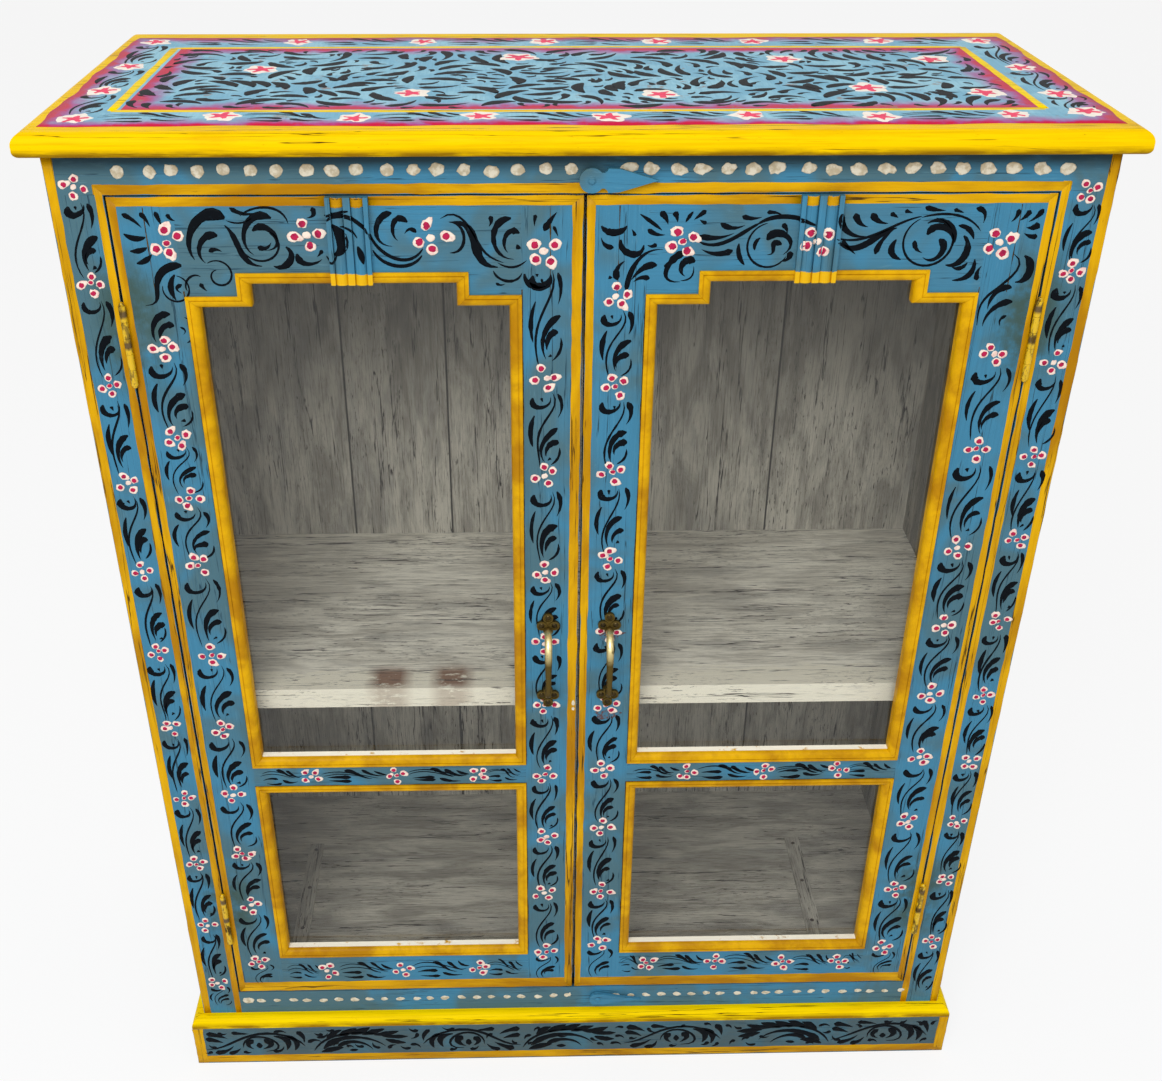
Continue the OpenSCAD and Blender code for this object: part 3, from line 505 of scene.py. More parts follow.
# The inner sides, cleats and fillets take a darker copy of the wash: painted shade
limed_shaded = limed_board("limed_softwood_side", GRAIN_UP, "#45413a", "#77746a", "#a6a296")
print("boards:", limed_level.name, limed_lit_shelf.name)

# %% [markdown]
# ### Metals and glass
# The pulls are cast brass, polished by hands on the bow and dark in the hollows, with a painted
# highlight on the upper bow. The hinges are brass too, under a thin and mostly rubbed-off coat
# of yellow. The glass is plain window glass: a clear layer with a mirror on top whose strength
# follows Fresnel, so lamps shine through it.

# %% Cast the brass and cut the glass
# The pull is bright over a middle and a reach, both as shares of its height, and only where it
# stands proud of its plate: polish from hands, and a painted highlight on the upper bow
BRIGHT_AT, BRIGHT_REACH = 0.86, 0.27
PLATE_THICK, PROUD = 5, 3
# Dirt sits where a knuckle meets the next one, at both hinges of a door
KNUCKLES = [level + joint for level in (945, 236) for joint in (30, 1)]
KNUCKLE_REACH = 5.0


def aged_brass(name, bright, dark, coat=None, worn=0.5, rubbed=None, darker_at=()):
    """Brass with a brown patina in drifts, and where a coat of paint is named, its remains.
    Patina is rough and the polished brass between is smooth. Rubbed is a height and a reach,
    polished by hands and painted with a highlight, and the depth of its plate: only what stands
    proud of that is bright. The last heights given are where it is dark."""
    material, tree, at = begin(name)
    if rubbed:
        # Polish from hands, and a painted highlight on the upper part of the pull
        level, reach, plate = rubbed
        bare = overlap(tree, edge_mask(tree, at, Z, level, reach),
                       drifts(tree, at, 5, (0.2, 0.5)), ramp(tree, at, Y, plate, plate - PROUD))
    else:
        bare = drifts(tree, at, 16, (0.30, 0.55), detail=6)
    metal, metallic = coats(tree, dark, (bare, bright)), 0.9
    if coat:
        left_over = drifts(tree, at, 5, (worn - 0.05, worn + 0.05), 2.0, (1, 1, 3), 7, 0.7)
        metal = coats(tree, metal, (left_over, coat))
        metallic = add(tree, "Math", {0: left_over, 1: -0.9, 2: 0.9}, operation="MULTIPLY_ADD")
    for level in darker_at:
        metal = coats(tree, metal, (edge_mask(tree, at, Z, level, KNUCKLE_REACH), "#5f491e"))
    rough = add(tree, "Math", {0: bare, 1: -0.22, 2: 0.5}, operation="MULTIPLY_ADD")
    end(tree, metal, rough, drifts(tree, at, 1.4, (0.2, 0.8)), 0.05, 0.5, metallic)
    return material


pull_z, pull_high = low("left_handle", Z), high("left_handle", Z) - low("left_handle", Z)
pull_brass = aged_brass("cast_brass_polished_and_lit", "#f2dfa0", "#5d4d22", rubbed=(
    pull_z + BRIGHT_AT * pull_high, BRIGHT_REACH * pull_high,
    high("left_handle", Y) - PLATE_THICK))
hinge_brass = aged_brass("hinge_brass_with_worn_yellow", "#a08434", "#4a3a18", "#d9b000", 0.47,
                         darker_at=KNUCKLES)
screw_brass = aged_brass("screw_brass_dulled", "#40351d", "#15110a")

window_glass, tree, _ = begin("window_glass")
clear = add(tree, "BsdfTransparent", {"Color": "#f9f9f7"})
mirror = add(tree, "BsdfGlossy", {"Color": "#ffffff", "Roughness": 0.02})
inside = add(tree, "NewGeometry").outputs["Backfacing"]
outside = add(tree, "Math", {0: 1.0, 1: inside}, operation="SUBTRACT")
skin = add(tree, "Math", {0: add(tree, "Fresnel", {"IOR": 1.5}), 1: outside},
           operation="MULTIPLY")
add(tree, "OutputMaterial", {"Surface": add(tree, "MixShader", {0: skin, 1: clear, 2: mirror})})

# Nails that hold the battens: cut iron, rusted dark
rusted_iron, tree, at = begin("rusted_iron")
rust = drifts(tree, at, 1.5, (0.4, 0.6), detail=6)
end(tree, coats(tree, "#2b2724", (rust, "#54402f")), 0.7, rust, 0.1, metallic=0.4)
print("metals and glass ready")

# %% [markdown]
# ### Paints for the ornament
# Lamp black for the leaves, a thick cream for petals and dabs, and crimson for their hearts.
# Brush strokes are seldom even: black runs thin and shows blue, and cream has specks of dirt.

# %% Mix the ornament's paints


def stroke_paint(name, main, other, size, edges, roughness=0.5, dirt=None):
    """A brushed paint in one tone that drifts to another, with optional specks of dirt."""
    material, tree, at = begin(name)
    tone = coats(tree, main, (drifts(tree, at, size, edges), other))
    if dirt:
        tone = coats(tree, tone,
                     (drifts(tree, at, 2.0, (0.60, 0.68), 6.0, detail=7, rough=0.8), dirt))
    end(tree, tone, roughness, drifts(tree, at, 1.2, (0.2, 0.8), rough=0.7), 0.07, 0.07)
    return material


lamp_black = stroke_paint("lamp_black", "#04090f", "#14242d", 6, (0.6, 0.8), 0.55)
cream_paint = stroke_paint("cream_paint", "#dcd4c0", "#baad92", 7, (0.40, 0.62), 0.55, "#93815f")
shade_and_joint_paint = stroke_paint("grime_umber", "#3a2a0e", "#5c430f", 5, (0.45, 0.6), 0.6)
bare_primer = stroke_paint("bare_primer", "#5d4545", "#456f86", 3.5, (0.42, 0.56), 0.6)
petal_paint = stroke_paint("petal_paint", "#ecdccd", "#e0b6ae", 5, (0.45, 0.7), 0.55)
crimson_paint = stroke_paint("crimson_paint", "#b4234c", "#8a1f40", 4, (0.45, 0.7), 0.5)
rose_paint = stroke_paint("rose_paint", "#ef4468", "#d83a5c", 9, (0.45, 0.7), 0.5)
white_paint = stroke_paint("white_paint", "#f6ecdf", "#e9d3cf", 9, (0.5, 0.72), 0.55)
print("ornament paints ready")

# %% [markdown]
# ## Brush strokes as thin solids
# A stroke of paint has a body: it rises from the wood, domes over and ends in a point. It could
# be a picture on the surface, but then it would blur close up and could not catch light. Here
# every stroke is a real, closed solid, a few tenths of a millimetre high.
#
# A stroke is a path, a width that swells and fades along it, and a low dome across it. All
# strokes that have as many points are computed together, as one array.

# %% Shape the strokes
rng = np.random.default_rng(7)
# How far each kind of paint stands up from the wood, in millimetres, and how deep it is sunk.
# It lies flatter on the top board, where what stands up adds to the height of the cabinet.
PAINT_SINK = 0.05
FIELD_RISE, DARK_LINE_RISE, BAND_RISE, LEAF_RISE = 0.08, 0.06, 0.10, 0.22
WORN_RISE, CHIP_RISE, PETAL_RISE, HEART_RISE = 0.14, 0.16, 0.34, 0.46
TOP_LINE_RISE, TOP_LEAF_RISE, TOP_PETAL_RISE, TOP_HEART_RISE = 0.14, 0.13, 0.17, 0.19
BOLDNESS = {"band": 1.0, "line": 1.05, "leaf": 1.3, "comma": 1.4}
# Where the points of a cross-section lie, as shares of half the width
ACROSS = np.array([-1.0, -0.55, 0.55, 1.0])
FLATLY = np.array([-1.0, -0.9, 0.9, 1.0])
CLOSELY = np.array([-1.0, -0.85, -0.6, -0.3, 0.0, 0.3, 0.6, 0.85, 1.0])
BAND_STEP = 14  # millimetres from one point of a band to the next


def through(points, count):
    """Points along the one polynomial that passes through all the given ones, with its
    parameter running as the straight distance between them does."""
    points = np.asarray(points, float)
    steps = np.linalg.norm(np.diff(points, axis=0), axis=1)
    at = np.concatenate([[0], np.cumsum(steps)]) / steps.sum()
    factors = np.linalg.solve(np.vander(at), points)
    return np.vander(np.linspace(0, 1, count), len(points)) @ factors


def coil(centre, start_r, end_r, start_deg, end_deg, squash=1.0):
    """A function of a count: points on a spiral whose radius changes evenly with its angle,
    flattened upwards by the squash factor."""
    def points(count):
        angle = np.radians(np.linspace(start_deg, end_deg, count))
        radius = np.linspace(start_r, end_r, count)
        return np.stack([centre[0] + radius * np.cos(angle),
                         centre[1] + squash * radius * np.sin(angle)], 1)
    return points


def towards(angle):
    """The unit vector at an angle, in radians from the u axis."""
    return np.array([math.cos(angle), math.sin(angle)])


def trace(path, count):
    """Points along a path, which is either one coil or a few points to pass through."""
    return path[0](count) if callable(path[0]) else through(path, count)


def swell(kind, count):
    """How wide a stroke is along its length, from 0 to 1. A comma starts fat and fades, a leaf
    is a sine arch, a line keeps its width and a band never narrows."""
    t = np.linspace(0, 1, count)
    if kind == "comma":
        return np.clip(np.minimum(np.sqrt(t / 0.16 + 0.05), 1) * (1 - t) ** 0.75, 0.04, 1)
    if kind == "leaf":
        return np.clip(np.sin(np.pi * np.clip(t * 0.92 + 0.05, 0, 1)) ** 0.8, 0.05, 1)
    if kind == "line":
        return np.clip(np.sin(np.pi * t) ** 0.35, 0.15, 1)
    return np.ones(count)


def solid_from(points, faces, name):
    """A mesh object from points in millimetres, with its faces turned outwards: the signed
    volume under them is positive when they are right."""
    triangles = np.concatenate([faces[:, [0, 1, 2]], faces[:, [0, 2, 3]]])
    a, b, c = (points[triangles[:, i]] for i in range(3))
    if np.einsum("ij,ij->", a, np.cross(b, c)) < 0:
        faces = faces[:, ::-1]
    mesh = bpy.data.meshes.new(name)
    mesh.from_pydata((points * MM).tolist(), [],
                     [list(dict.fromkeys(f)) for f in faces.tolist()])
    mesh.polygons.foreach_set("use_smooth", [True] * len(mesh.polygons))
    piece = bpy.data.objects.new(name, mesh)
    scene.collection.objects.link(piece)
    return piece


def stroke_solids(strokes, lie, rise):
    """Points and faces of many strokes. Each point is path(t) + across * half width(t) * the
    path's left normal, lifted by rise * dome(across); the section closes under the surface.
    Strokes that cross a reeded block get more points, to follow its reeds."""
    groups = {}
    for kind, width, *path in strokes:
        trial = trace(path, 24)
        uneven = (kind != "band" and lie is on_doors and trial[:, 1].max() > block_z
                  and (abs(abs(trial[:, 0]) - block_x) < block_half + 2).any())
        if kind == "band":
            count = max(8, int(np.hypot(*np.subtract(path[-1], path[0])) / BAND_STEP))
        elif uneven:
            count = 64
        else:
            count = 44 if callable(path[0]) else {2: 7, 3: 9}.get(len(path), 14)
        groups.setdefault((count, kind == "band", uneven), []).append(
            (trace(path, count), BOLDNESS[kind] * width / 2 * swell(kind, count)))
    all_points, all_faces, start = [], [], 0
    for (count, flat, uneven), members in groups.items():
        line = np.stack([m[0] for m in members])
        half = np.stack([m[1] for m in members])
        stray = 0.3 / half.max() if flat else 0.03 if uneven else 0.08
        half = half * (1 + stray * rng.standard_normal(half.shape))
        along = np.gradient(line, axis=1)
        along /= np.linalg.norm(along, axis=2, keepdims=True)
        normal = np.stack([-along[..., 1], along[..., 0]], -1)
        across = FLATLY if flat else CLOSELY if uneven else ACROSS
        dome = (abs(across) < 1).astype(float)
        placed = line[:, :, None] + (across * half[..., None])[..., None] * normal[:, :, None]
        lift = np.broadcast_to(dome * rise - (dome == 0) * PAINT_SINK, placed.shape[:-1]).copy()
        lift[:, [0, -1]] *= 0.6
        points = lie(placed[..., 0], placed[..., 1], lift)
        index = np.arange(points[..., 0].size).reshape(points.shape[:-1]) + start
        turned = np.roll(index, -1, axis=2)
        sides = np.stack([index[:, :-1], turned[:, :-1], turned[:, 1:], index[:, 1:]], -1)
        ends = np.concatenate([index[:, 0, ::-1], index[:, -1]])
        fans = range(1, len(across) - 1, 2)
        last = len(across) - 1
        caps = [ends[:, [0, i, i + 1, min(i + 2, last)]] for i in fans]
        all_faces += [sides.reshape(-1, 4), *caps]
        all_points.append(points.reshape(-1, 3))
        start += all_points[-1].shape[0]
    return np.concatenate(all_points), np.concatenate(all_faces)


def dab_solids(dabs, lie, rise, corners=14):
    """Points and faces of many dabs. Each is a disc of radius a * outline(angle), stretched
    to a by b and turned, that rises from its edge over a rim to a low crown."""
    turns = np.linspace(0, 2 * np.pi, corners, endpoint=False)
    outlines = {
        "round": 1 + 0 * turns,
        "tear": 1 + 0.45 * np.clip(np.cos(turns), 0, 1) ** 7,
        "star": 1 + 0.30 * np.cos(5 * turns),
        "scallop": 1 + 0.13 * np.cos(5 * turns) + 0.05 * np.cos(3 * turns),
    }
    shape = np.array([outlines[d[0]] for d in dabs])
    shape = shape * (1 + 0.07 * rng.standard_normal(shape.shape))
    u, v, a, b, angle = (np.array([d[i] for d in dabs], float)[:, None] for i in range(1, 6))
    x, y = a * shape * np.cos(turns), b * shape * np.sin(turns)
    edge_u = u + x * np.cos(angle) - y * np.sin(angle)
    edge_v = v + x * np.sin(angle) + y * np.cos(angle)
    shares = np.array([1.0, 0.86, 0.45])
    ring_u = u[..., None] + (edge_u - u)[..., None] * shares
    ring_v = v[..., None] + (edge_v - v)[..., None] * shares
    lift = np.broadcast_to(np.array([-PAINT_SINK, 0.8 * rise, rise]), ring_u.shape)
    rings = lie(ring_u, ring_v, lift)
    crown = lie(u[:, 0], v[:, 0], np.full(len(dabs), rise))
    under = lie(u[:, 0], v[:, 0], np.full(len(dabs), -PAINT_SINK))
    n, m = rings.shape[:2]
    index = np.arange(n * m * 3).reshape(n, m, 3)
    after = np.roll(index, -1, axis=1)
    top = n * m * 3 + np.arange(n)[:, None] + np.zeros((1, m), int)
    below = top + n
    faces = [np.stack([index[..., k], after[..., k], after[..., k + 1], index[..., k + 1]], -1)
             for k in (0, 1)]
    faces += [np.stack([index[..., 2], after[..., 2], top, top], -1),
              np.stack([after[..., 0], index[..., 0], below, below], -1)]
    points = np.concatenate([rings.reshape(-1, 3), crown, under])
    return points, np.concatenate([f.reshape(-1, 4) for f in faces])


print("a comma is", np.round(swell("comma", 7), 2))

# %% [markdown]
# Paint lies on whatever is below it. A lie is a function from a place on a face, and a height
# over it, to a point in space. On the doors it also follows the reeded block, whose two round
# reeds stand between three flat ridges.

# %% Find the faces that carry paint
BLOCK_BACKING, RIDGE_RISE, REED_RISE = 2.1, 3.0, 3.5
MID_RIDGE_W, REED_W = 6.0, 11.0
block_x = (low("right_reeded_block", X) + high("right_reeded_block", X)) / 2
block_half = (high("right_reeded_block", X) - low("right_reeded_block", X)) / 2
block_z = low("right_reeded_block", Z)
reed_r = ((REED_W / 2) ** 2 + REED_RISE ** 2) / (2 * REED_RISE)


def block_relief(u, v):
    """How far the reeded blocks stand in front of the doors: a circle's arc over each reed, and
    a flat over each ridge. Nothing beside the block, or below it."""
    out = np.abs(np.abs(u) - block_x)
    reed = np.abs(out - (MID_RIDGE_W + REED_W) / 2)
    arc = np.sqrt(np.clip(reed_r ** 2 - reed ** 2, 0, None)) - reed_r + REED_RISE
    face = np.where(reed < REED_W / 2, arc, RIDGE_RISE)
    return np.where((out < block_half) & (v > block_z), BLOCK_BACKING + face, 0.0)


def on_doors(u, v, lift):
    """The lie of the door fronts and of the reeded blocks on them."""
    return np.stack([u, front_y - lift - block_relief(u, v), v], -1)


def lie_on(axis, level, outward):
    """The lie of a flat face at a level along an axis. Outward is 1 or -1, the way that the
    lift goes from there, and u and v run along the other two axes, in their order."""
    def lie(u, v, lift):
        place = [u, v]
        place.insert(axis, level + outward * lift)
        return np.stack(place, -1)
    return lie


on_frame = lie_on(Y, front_y, -1)
on_plinth = lie_on(Y, low("plinth_front", Y), -1)
on_top = lie_on(Z, top_z, 1)
on_left, on_right = lie_on(X, -half_w, -1), lie_on(X, half_w, 1)


def painted(name, body, solids, material):
    """Makes one piece of paint from points and faces, and lets it ride on a body."""
    piece = solid_from(*solids, name)
    piece.data.materials.append(material)
    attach(piece, body)
    print(name, len(piece.data.polygons), "faces")
    return piece


print("blocks at", round(block_x, 2), "mm either side of the middle")

# %% [markdown]
# ## Finish the solids
# Each solid takes the finish of its real board. Upright boards get streaks that run up and
# down, level ones get streaks that run along. Only the material slots change: the solids
# themselves are never touched.

# %% Give every solid its finish


def pairs(*parts):
    """The names of the left one and the right one of each part."""
    return [f"{side}_{part}" for part in parts for side in ("left", "right")]


FINISHES = {
    yellow_lit_edge: ["top_board"],
    yellow_lit: ["plinth_moulding_front", "plinth_moulding_left", "plinth_moulding_right"],
    yellow_bead: pairs("upper_bead", "lower_bead"),
    blue_upright: pairs("face_stile", "hinge_stile", "meeting_stile"),
    blue_level: ["frieze_rail", "sill_rail", *pairs("top_rail", "mid_rail", "bottom_rail")],
    blue_block: pairs("reeded_block"),
    blue_plinth: ["plinth_front", "plinth_left", "plinth_right"],
    blue_iron: ["top_latch", "bottom_latch", "frame_screws"],
    limed_level: ["floor_board_front", "floor_board_back", "door_stop"],
    limed_lit_shelf: ["shelf_board_back"],
    limed_edge: ["shelf_board_front"],
    limed_batten: ["floor_battens"],
    limed_shaded: ["side_cleats", *pairs("side", "glazing_fillets")],
    **{finish: [node] for node, finish in back_boards.items()},
    window_glass: pairs("upper_pane", "lower_pane"),
    pull_brass: pairs("handle"),
    hinge_brass: ["hinge_frame_leaves", "hinge_pins", *pairs("hinge_leaves")],
    screw_brass: pairs("door_screws"),
    rusted_iron: ["batten_nails"],
}
for finish, names in FINISHES.items():
    for name in names:
        for slot in nodes[name].material_slots:
            slot.material = finish
finished = sum(len(names) for names in FINISHES.values())
print(finished, "of", len(nodes), "solids finished")

# %% [markdown]
# ## Yellow lines
# The painter edged every board in yellow. Each line is a band of enamel, about a tenth of a
# millimetre thick, with edges that waver a little because no tape was used.

# %% Draw the yellow lines


def band(width, *path):
    """A stroke that keeps its width and has square ends."""
    return ("band", width, *path)


def frame_of_bands(left, right_side, bottom, top, w_left, w_right, w_bottom, w_top):
    """Four bands that run just inside the edges of a rectangle."""
    return [band(w_left, (left + w_left / 2, bottom), (left + w_left / 2, top)),
            band(w_right, (right_side - w_right / 2, bottom), (right_side - w_right / 2, top)),
            band(w_bottom, (left, bottom + w_bottom / 2), (right_side, bottom + w_bottom / 2)),
            band(w_top, (left, top - w_top / 2), (right_side, top - w_top / 2))]


def painted_lines(name, body, lines, lie):
    """Paints the upright bands of a set in one enamel and the level ones in the other."""
    for way, enamel in (("upright", yellow_upright), ("level", yellow_level)):
        chosen = [line for line in lines
                  if (abs(line[2][0] - line[-1][0]) < abs(line[2][1] - line[-1][1]))
                  == (way == "upright")]
        painted(f"{name}_{way}", body, stroke_solids(chosen, lie, BAND_RISE), enamel)


# Widths of the lines. On the reeds the line is four short dashes, which bend round each reed
DOOR_LINE_LOW, DOOR_LINE_HIGH = 15.5, 8.5
REED_DASHES, DASH_HALF = (-4.0, -1.4, 1.4, 4.0), 1.45
FRAME_LINE_OUT, FRAME_LINE_IN, PLINTH_LINE = 9, 7.5, 12

door_z, door_top = low("left_hinge_stile", Z), high("left_hinge_stile", Z)
frieze_z = low("frieze_rail", Z)
plinth_top = high("plinth_front", Z)
moulding_top = high("plinth_moulding_front", Z)
under_top_z = low("top_board", Z)
for side, outer_stile, inner_stile, widths, block_at in (
        ("left", "left_hinge_stile", "left_meeting_stile", (7, 9.5), -block_x),
        ("right", "right_meeting_stile", "right_hinge_stile", (7.5, 7), block_x)):
    start_x, stop_x = low(outer_stile, X), high(inner_stile, X)
    lines = frame_of_bands(start_x, stop_x, door_z, door_top, *widths, DOOR_LINE_LOW,
                           DOOR_LINE_HIGH)[:3]
    # The reeded block hides the line behind it, and wears it on its two reeds alone
    line_z = door_top - DOOR_LINE_HIGH / 2
    for start, stop in ((start_x, block_at - block_half), (block_at + block_half, stop_x)):
        lines.append(band(DOOR_LINE_HIGH, (start, line_z), (stop, line_z)))
    for reed in (-1, 1):
        middle = block_at + reed * (MID_RIDGE_W + REED_W) / 2
        lines += [band(DOOR_LINE_HIGH, (middle + k - DASH_HALF, door_top - 4.4),
                       (middle + k + DASH_HALF, door_top - 4.4)) for k in REED_DASHES]
    painted_lines(f"{side}_door_lines", f"{side}_door", lines, on_doors)

opening = high("left_face_stile", X)
frame_lines = []
for side in (-1, 1):
    for width, u, top in (
            (FRAME_LINE_OUT, side * (half_w - FRAME_LINE_OUT / 2), under_top_z - 4),
            (FRAME_LINE_IN, side * (-opening + FRAME_LINE_IN / 2), frieze_z + FRAME_LINE_OUT)):
        frame_lines.append(band(width, (u, moulding_top - 1), (u, top)))
frame_lines.append(band(FRAME_LINE_OUT, (opening - 8, frieze_z + FRAME_LINE_OUT / 2),
                        (-opening + 8, frieze_z + FRAME_LINE_OUT / 2)))
painted_lines("frame_lines", "cabinet", frame_lines, on_frame)

plinth_out = high("plinth_front", X)
plinth_lines = [band(PLINTH_LINE, (side * (plinth_out - PLINTH_LINE / 2), 0.5),
                     (side * (plinth_out - PLINTH_LINE / 2), plinth_top - 0.5))
                for side in (-1, 1)]
plinth_lines.append(band(PLINTH_LINE, (-plinth_out, 7.2), (plinth_out, 7.2)))
painted_lines("plinth_lines", "cabinet", plinth_lines, on_plinth)

# %% [markdown]
# ### Painted shade, dirt and wear
# Painted shade gathers in the creases where the beads meet the boards, and dirt opens the
# shoulders of the top rails to thin dark lines. They are drawn as very thin umber bands, laid
# flat. A painted shadow lies under the top, along the frieze. The right door is rubbed through
# to its primer in two places, and on the left one the blue has chipped in two.

# %% Draw the painted shade beside the beads
for side in ("left", "right"):
    # Painted shade in the creases round the beads, and dark joint lines at the top rail's
    # shoulders
    lines = []
    for part in ("upper", "lower"):
        bead = f"{side}_{part}_bead"
        # The steps of the upper bead's head get no shade line, so its uprights stop below them
        stops_short = part == "upper"
        top = high(f"{side}_upper_pane", Z) - 24 if stops_short else high(bead, Z)
        around = frame_of_bands(low(bead, X) - 0.8, high(bead, X) + 0.8, low(bead, Z) - 0.8,
                                top + 0.8, 1.1, 1.1, 1.1, 0.9)
        lines += around[:3] if stops_short else around
    rail = f"{side}_top_rail"
    lines += [band(0.7, (u, low(rail, Z)), (u, high(rail, Z) - 9))
              for u in (low(rail, X), high(rail, X))]
    painted(f"{side}_door_grime", f"{side}_door",
            stroke_solids(lines, on_doors, DARK_LINE_RISE), shade_and_joint_paint)
# A painted shadow under the top's ledge: a dark band along the frieze
shadow_under_top = [band(4, (-half_w + 1, under_top_z - 2), (half_w - 1, under_top_z - 2))]
painted("frieze_grime", "cabinet", stroke_solids(shadow_under_top, on_frame, DARK_LINE_RISE), lamp_black)
rubbed_through = [("scallop", 33, 627, 12, 6, 0.2), ("scallop", 31, 526, 13, 7, 0.1)]
painted("right_door_rubbed", "right_door",
        dab_solids(rubbed_through, on_doors, WORN_RISE, 26), bare_primer)
chips = [("tear", -4.5, 541, 3.4, 2.0, 1.57), ("round", -4.5, 534, 2.6, 1.7, 1.5)]
painted("left_door_chips", "left_door", dab_solids(chips, on_doors, CHIP_RISE), cream_paint)

# %% [markdown]
# ## Flowers
# Every flower on the front is made in the same few touches: four cream petals, pressed down
# around a gap, a crimson heart on each, and a fifth petal in the middle, with a heart on about
# every other one. The painter's hand never repeats exactly, so each touch strays a little, by
# a seeded random amount.

# %% Paint the flowers' touches


def flower(u, v, reach, petals, hearts):
    """Adds four petals about a quarter turn apart, each a reach from the middle and half as
    wide, with a crimson heart on each. A fifth petal fills the middle, and half of the flowers
    have a heart there too."""
    lean = rng.normal(0.25, 0.25)
    for quarter in range(4):
        angle = quarter * math.pi / 2 + lean + rng.normal(0, 0.2)
        out = reach * (1 + rng.normal(0, 0.09))
        shape = "tear" if rng.random() < 0.45 else "round"
        a, b = reach * rng.normal(0.50, 0.035), reach * rng.normal(0.46, 0.035)
        petals.append((shape, u + out * math.cos(angle), v + out * math.sin(angle),
                       a, b, rng.normal(0.0, 0.6)))
        out -= reach * 0.06
        hearts.append(("round", u + out * math.cos(angle), v + out * math.sin(angle),
                       reach * 0.34, reach * 0.31, rng.normal(0.3, 0.5)))
    middle = rng.random()
    u, v, turned = u + rng.normal(0, 0.7), v + rng.normal(0, 0.7), rng.normal(0.5, 0.4)
    petals.append(("round", u, v, reach * 0.36, reach * 0.29, turned))
    if middle < 0.5:
        hearts.append(("round", u + 0.3, v + 0.3, reach * 0.29, reach * 0.24, turned))


def paint_flowers(name, body, petals, hearts, lie):
    """Paints the gathered petals of a face, and on them the hearts, which stand higher."""
    painted(f"{name}_petals", body, dab_solids(petals, lie, PETAL_RISE), petal_paint)
    painted(f"{name}_hearts", body, dab_solids(hearts, lie, HEART_RISE), crimson_paint)


LEFT_FLOWERS = {
    "hinge": [(-373, z) for z in (941, 853, 789, 716, 608, 512, 422, 335, 255, 162)],
    "meeting": [(-34, z) for z in (1028, 910, 810, 703, 618, 539, 445, 355, 268, 172)],
    "top": [(-356, 1037), (-237, 1043), (-131, 1041)],
    "mid": [(-288, 446), (-195, 446), (-105, 446)],
    "bottom": [(-294, 145), (-204, 145), (-113, 146)],
}
RIGHT_FLOWERS = {
    "hinge": [(372, z) for z in (931, 835, 726, 635, 548, 462, 370, 266, 170)],
    "meeting": [(30, z) for z in (987, 901, 812, 718, 631, 539, 451, 368, 270, 185)],
    "top": [(83, 1037), (200, 1038), (359, 1033)],
    "mid": [(119, 446), (204, 446), (286, 447)],
    "bottom": [(88, 150), (169, 151), (252, 148), (320, 147)],
}
LEFT_FRAME = [(-427, z) for z in (1085, 1000, 905, 806, 708, 612, 515, 418, 321, 224, 127)]
RIGHT_FRAME = [(428, z) for z in (1078, 1007, 922, 826, 735, 639, 545, 455, 368, 279, 178)]
BIG, MIDDLE, SMALL = 11.2, 9.3, 8.2

for side, plan in (("left", LEFT_FLOWERS), ("right", RIGHT_FLOWERS)):
    petals, hearts = [], []
    for where, places in plan.items():
        for u, v in places:
            size = {"top": BIG, "mid": SMALL}.get(where, BIG if v > 1020 else MIDDLE)
            flower(u + rng.normal(0, 0.8), v, size, petals, hearts)
    paint_flowers(f"{side}_door", f"{side}_door", petals, hearts, on_doors)
petals, hearts = [], []
for u, v in LEFT_FRAME + RIGHT_FRAME:
    flower(u, v, SMALL, petals, hearts)
paint_flowers("frame", "cabinet", petals, hearts, on_frame)

# %% [markdown]
# ## Black leaves
# Between two flowers the painter repeated one figure from memory: a cup under the upper flower,
# a stem that sways down to the lower one, two fat commas beside it and a thin arc on the other
# side. It is written here once, as paths in millimetres from the upper flower to a lower one
# that is 92 mm below, and then stretched and shaken into each gap.

# %% Paint the leaves on the upright boards
UPRIGHT_PITCH = 92.0
UPRIGHT_FIGURE = [
    ("comma", 6.2, (-13, -17), (-10, -26), (-1, -26), (5, -17)),
    ("line", 2.2, (7, -14), (8, -26), (-4, -45), (-10, -62), (-7, -84)),
    ("comma", 4.4, (13, -15), (17, -26), (13, -38)),
    ("comma", 6.4, (14, -46), (4, -51), (-3, -63), (-1, -78)),
    ("comma", 6.0, (14, -59), (8, -59), (2, -64), (1, -72)),
    ("leaf", 4.0, (-11, -35), (-16, -50), (-14, -65)),
    ("comma", 3.2, (9, -74), (5, -76)),
    ("line", 2.6, (17, -64), (16, -74), (7, -81)),
    ("comma", 3.0, (-4, -18), (-3, -22)),
]
ALWAYS = 5  # the first strokes of a figure that are never left out


def figure_between(figure, pitch, start, stop, width, strokes, keep=0.72):
    """Lays a figure from one flower to the next: its length is scaled to the gap, its breadth
    by the width factor, and every point strays by about half a millimetre. Its first strokes
    are always painted, and each later one with the chance keep."""
    start, stop = np.asarray(start, float), np.asarray(stop, float)
    run = stop - start
    scale = np.hypot(*run) / pitch
    along = run / np.hypot(*run)
    level = np.array([-along[1], along[0]])
    for number, (kind, breadth, *path) in enumerate(figure):
        if number >= ALWAYS and rng.random() > keep:
            continue
        path = np.asarray(path, float)
        stray = rng.normal(0, 0.9, 2) + rng.normal(0, 0.45, path.shape)
        placed = (start + np.outer(-path[:, 1] * scale, along)
                  + np.outer(path[:, 0] * width, level) + stray)
        strokes.append((kind, breadth * rng.uniform(0.8, 1.15) * min(1, scale + 0.1),
                        *map(tuple, placed)))


def column_strokes(places, width, strokes):
    """The upright figure in every gap of a column of flowers."""
    column = sorted(places, key=lambda p: -p[1])
    for above, below in zip(column, column[1:]):
        figure_between(UPRIGHT_FIGURE, UPRIGHT_PITCH, above, below, width, strokes)


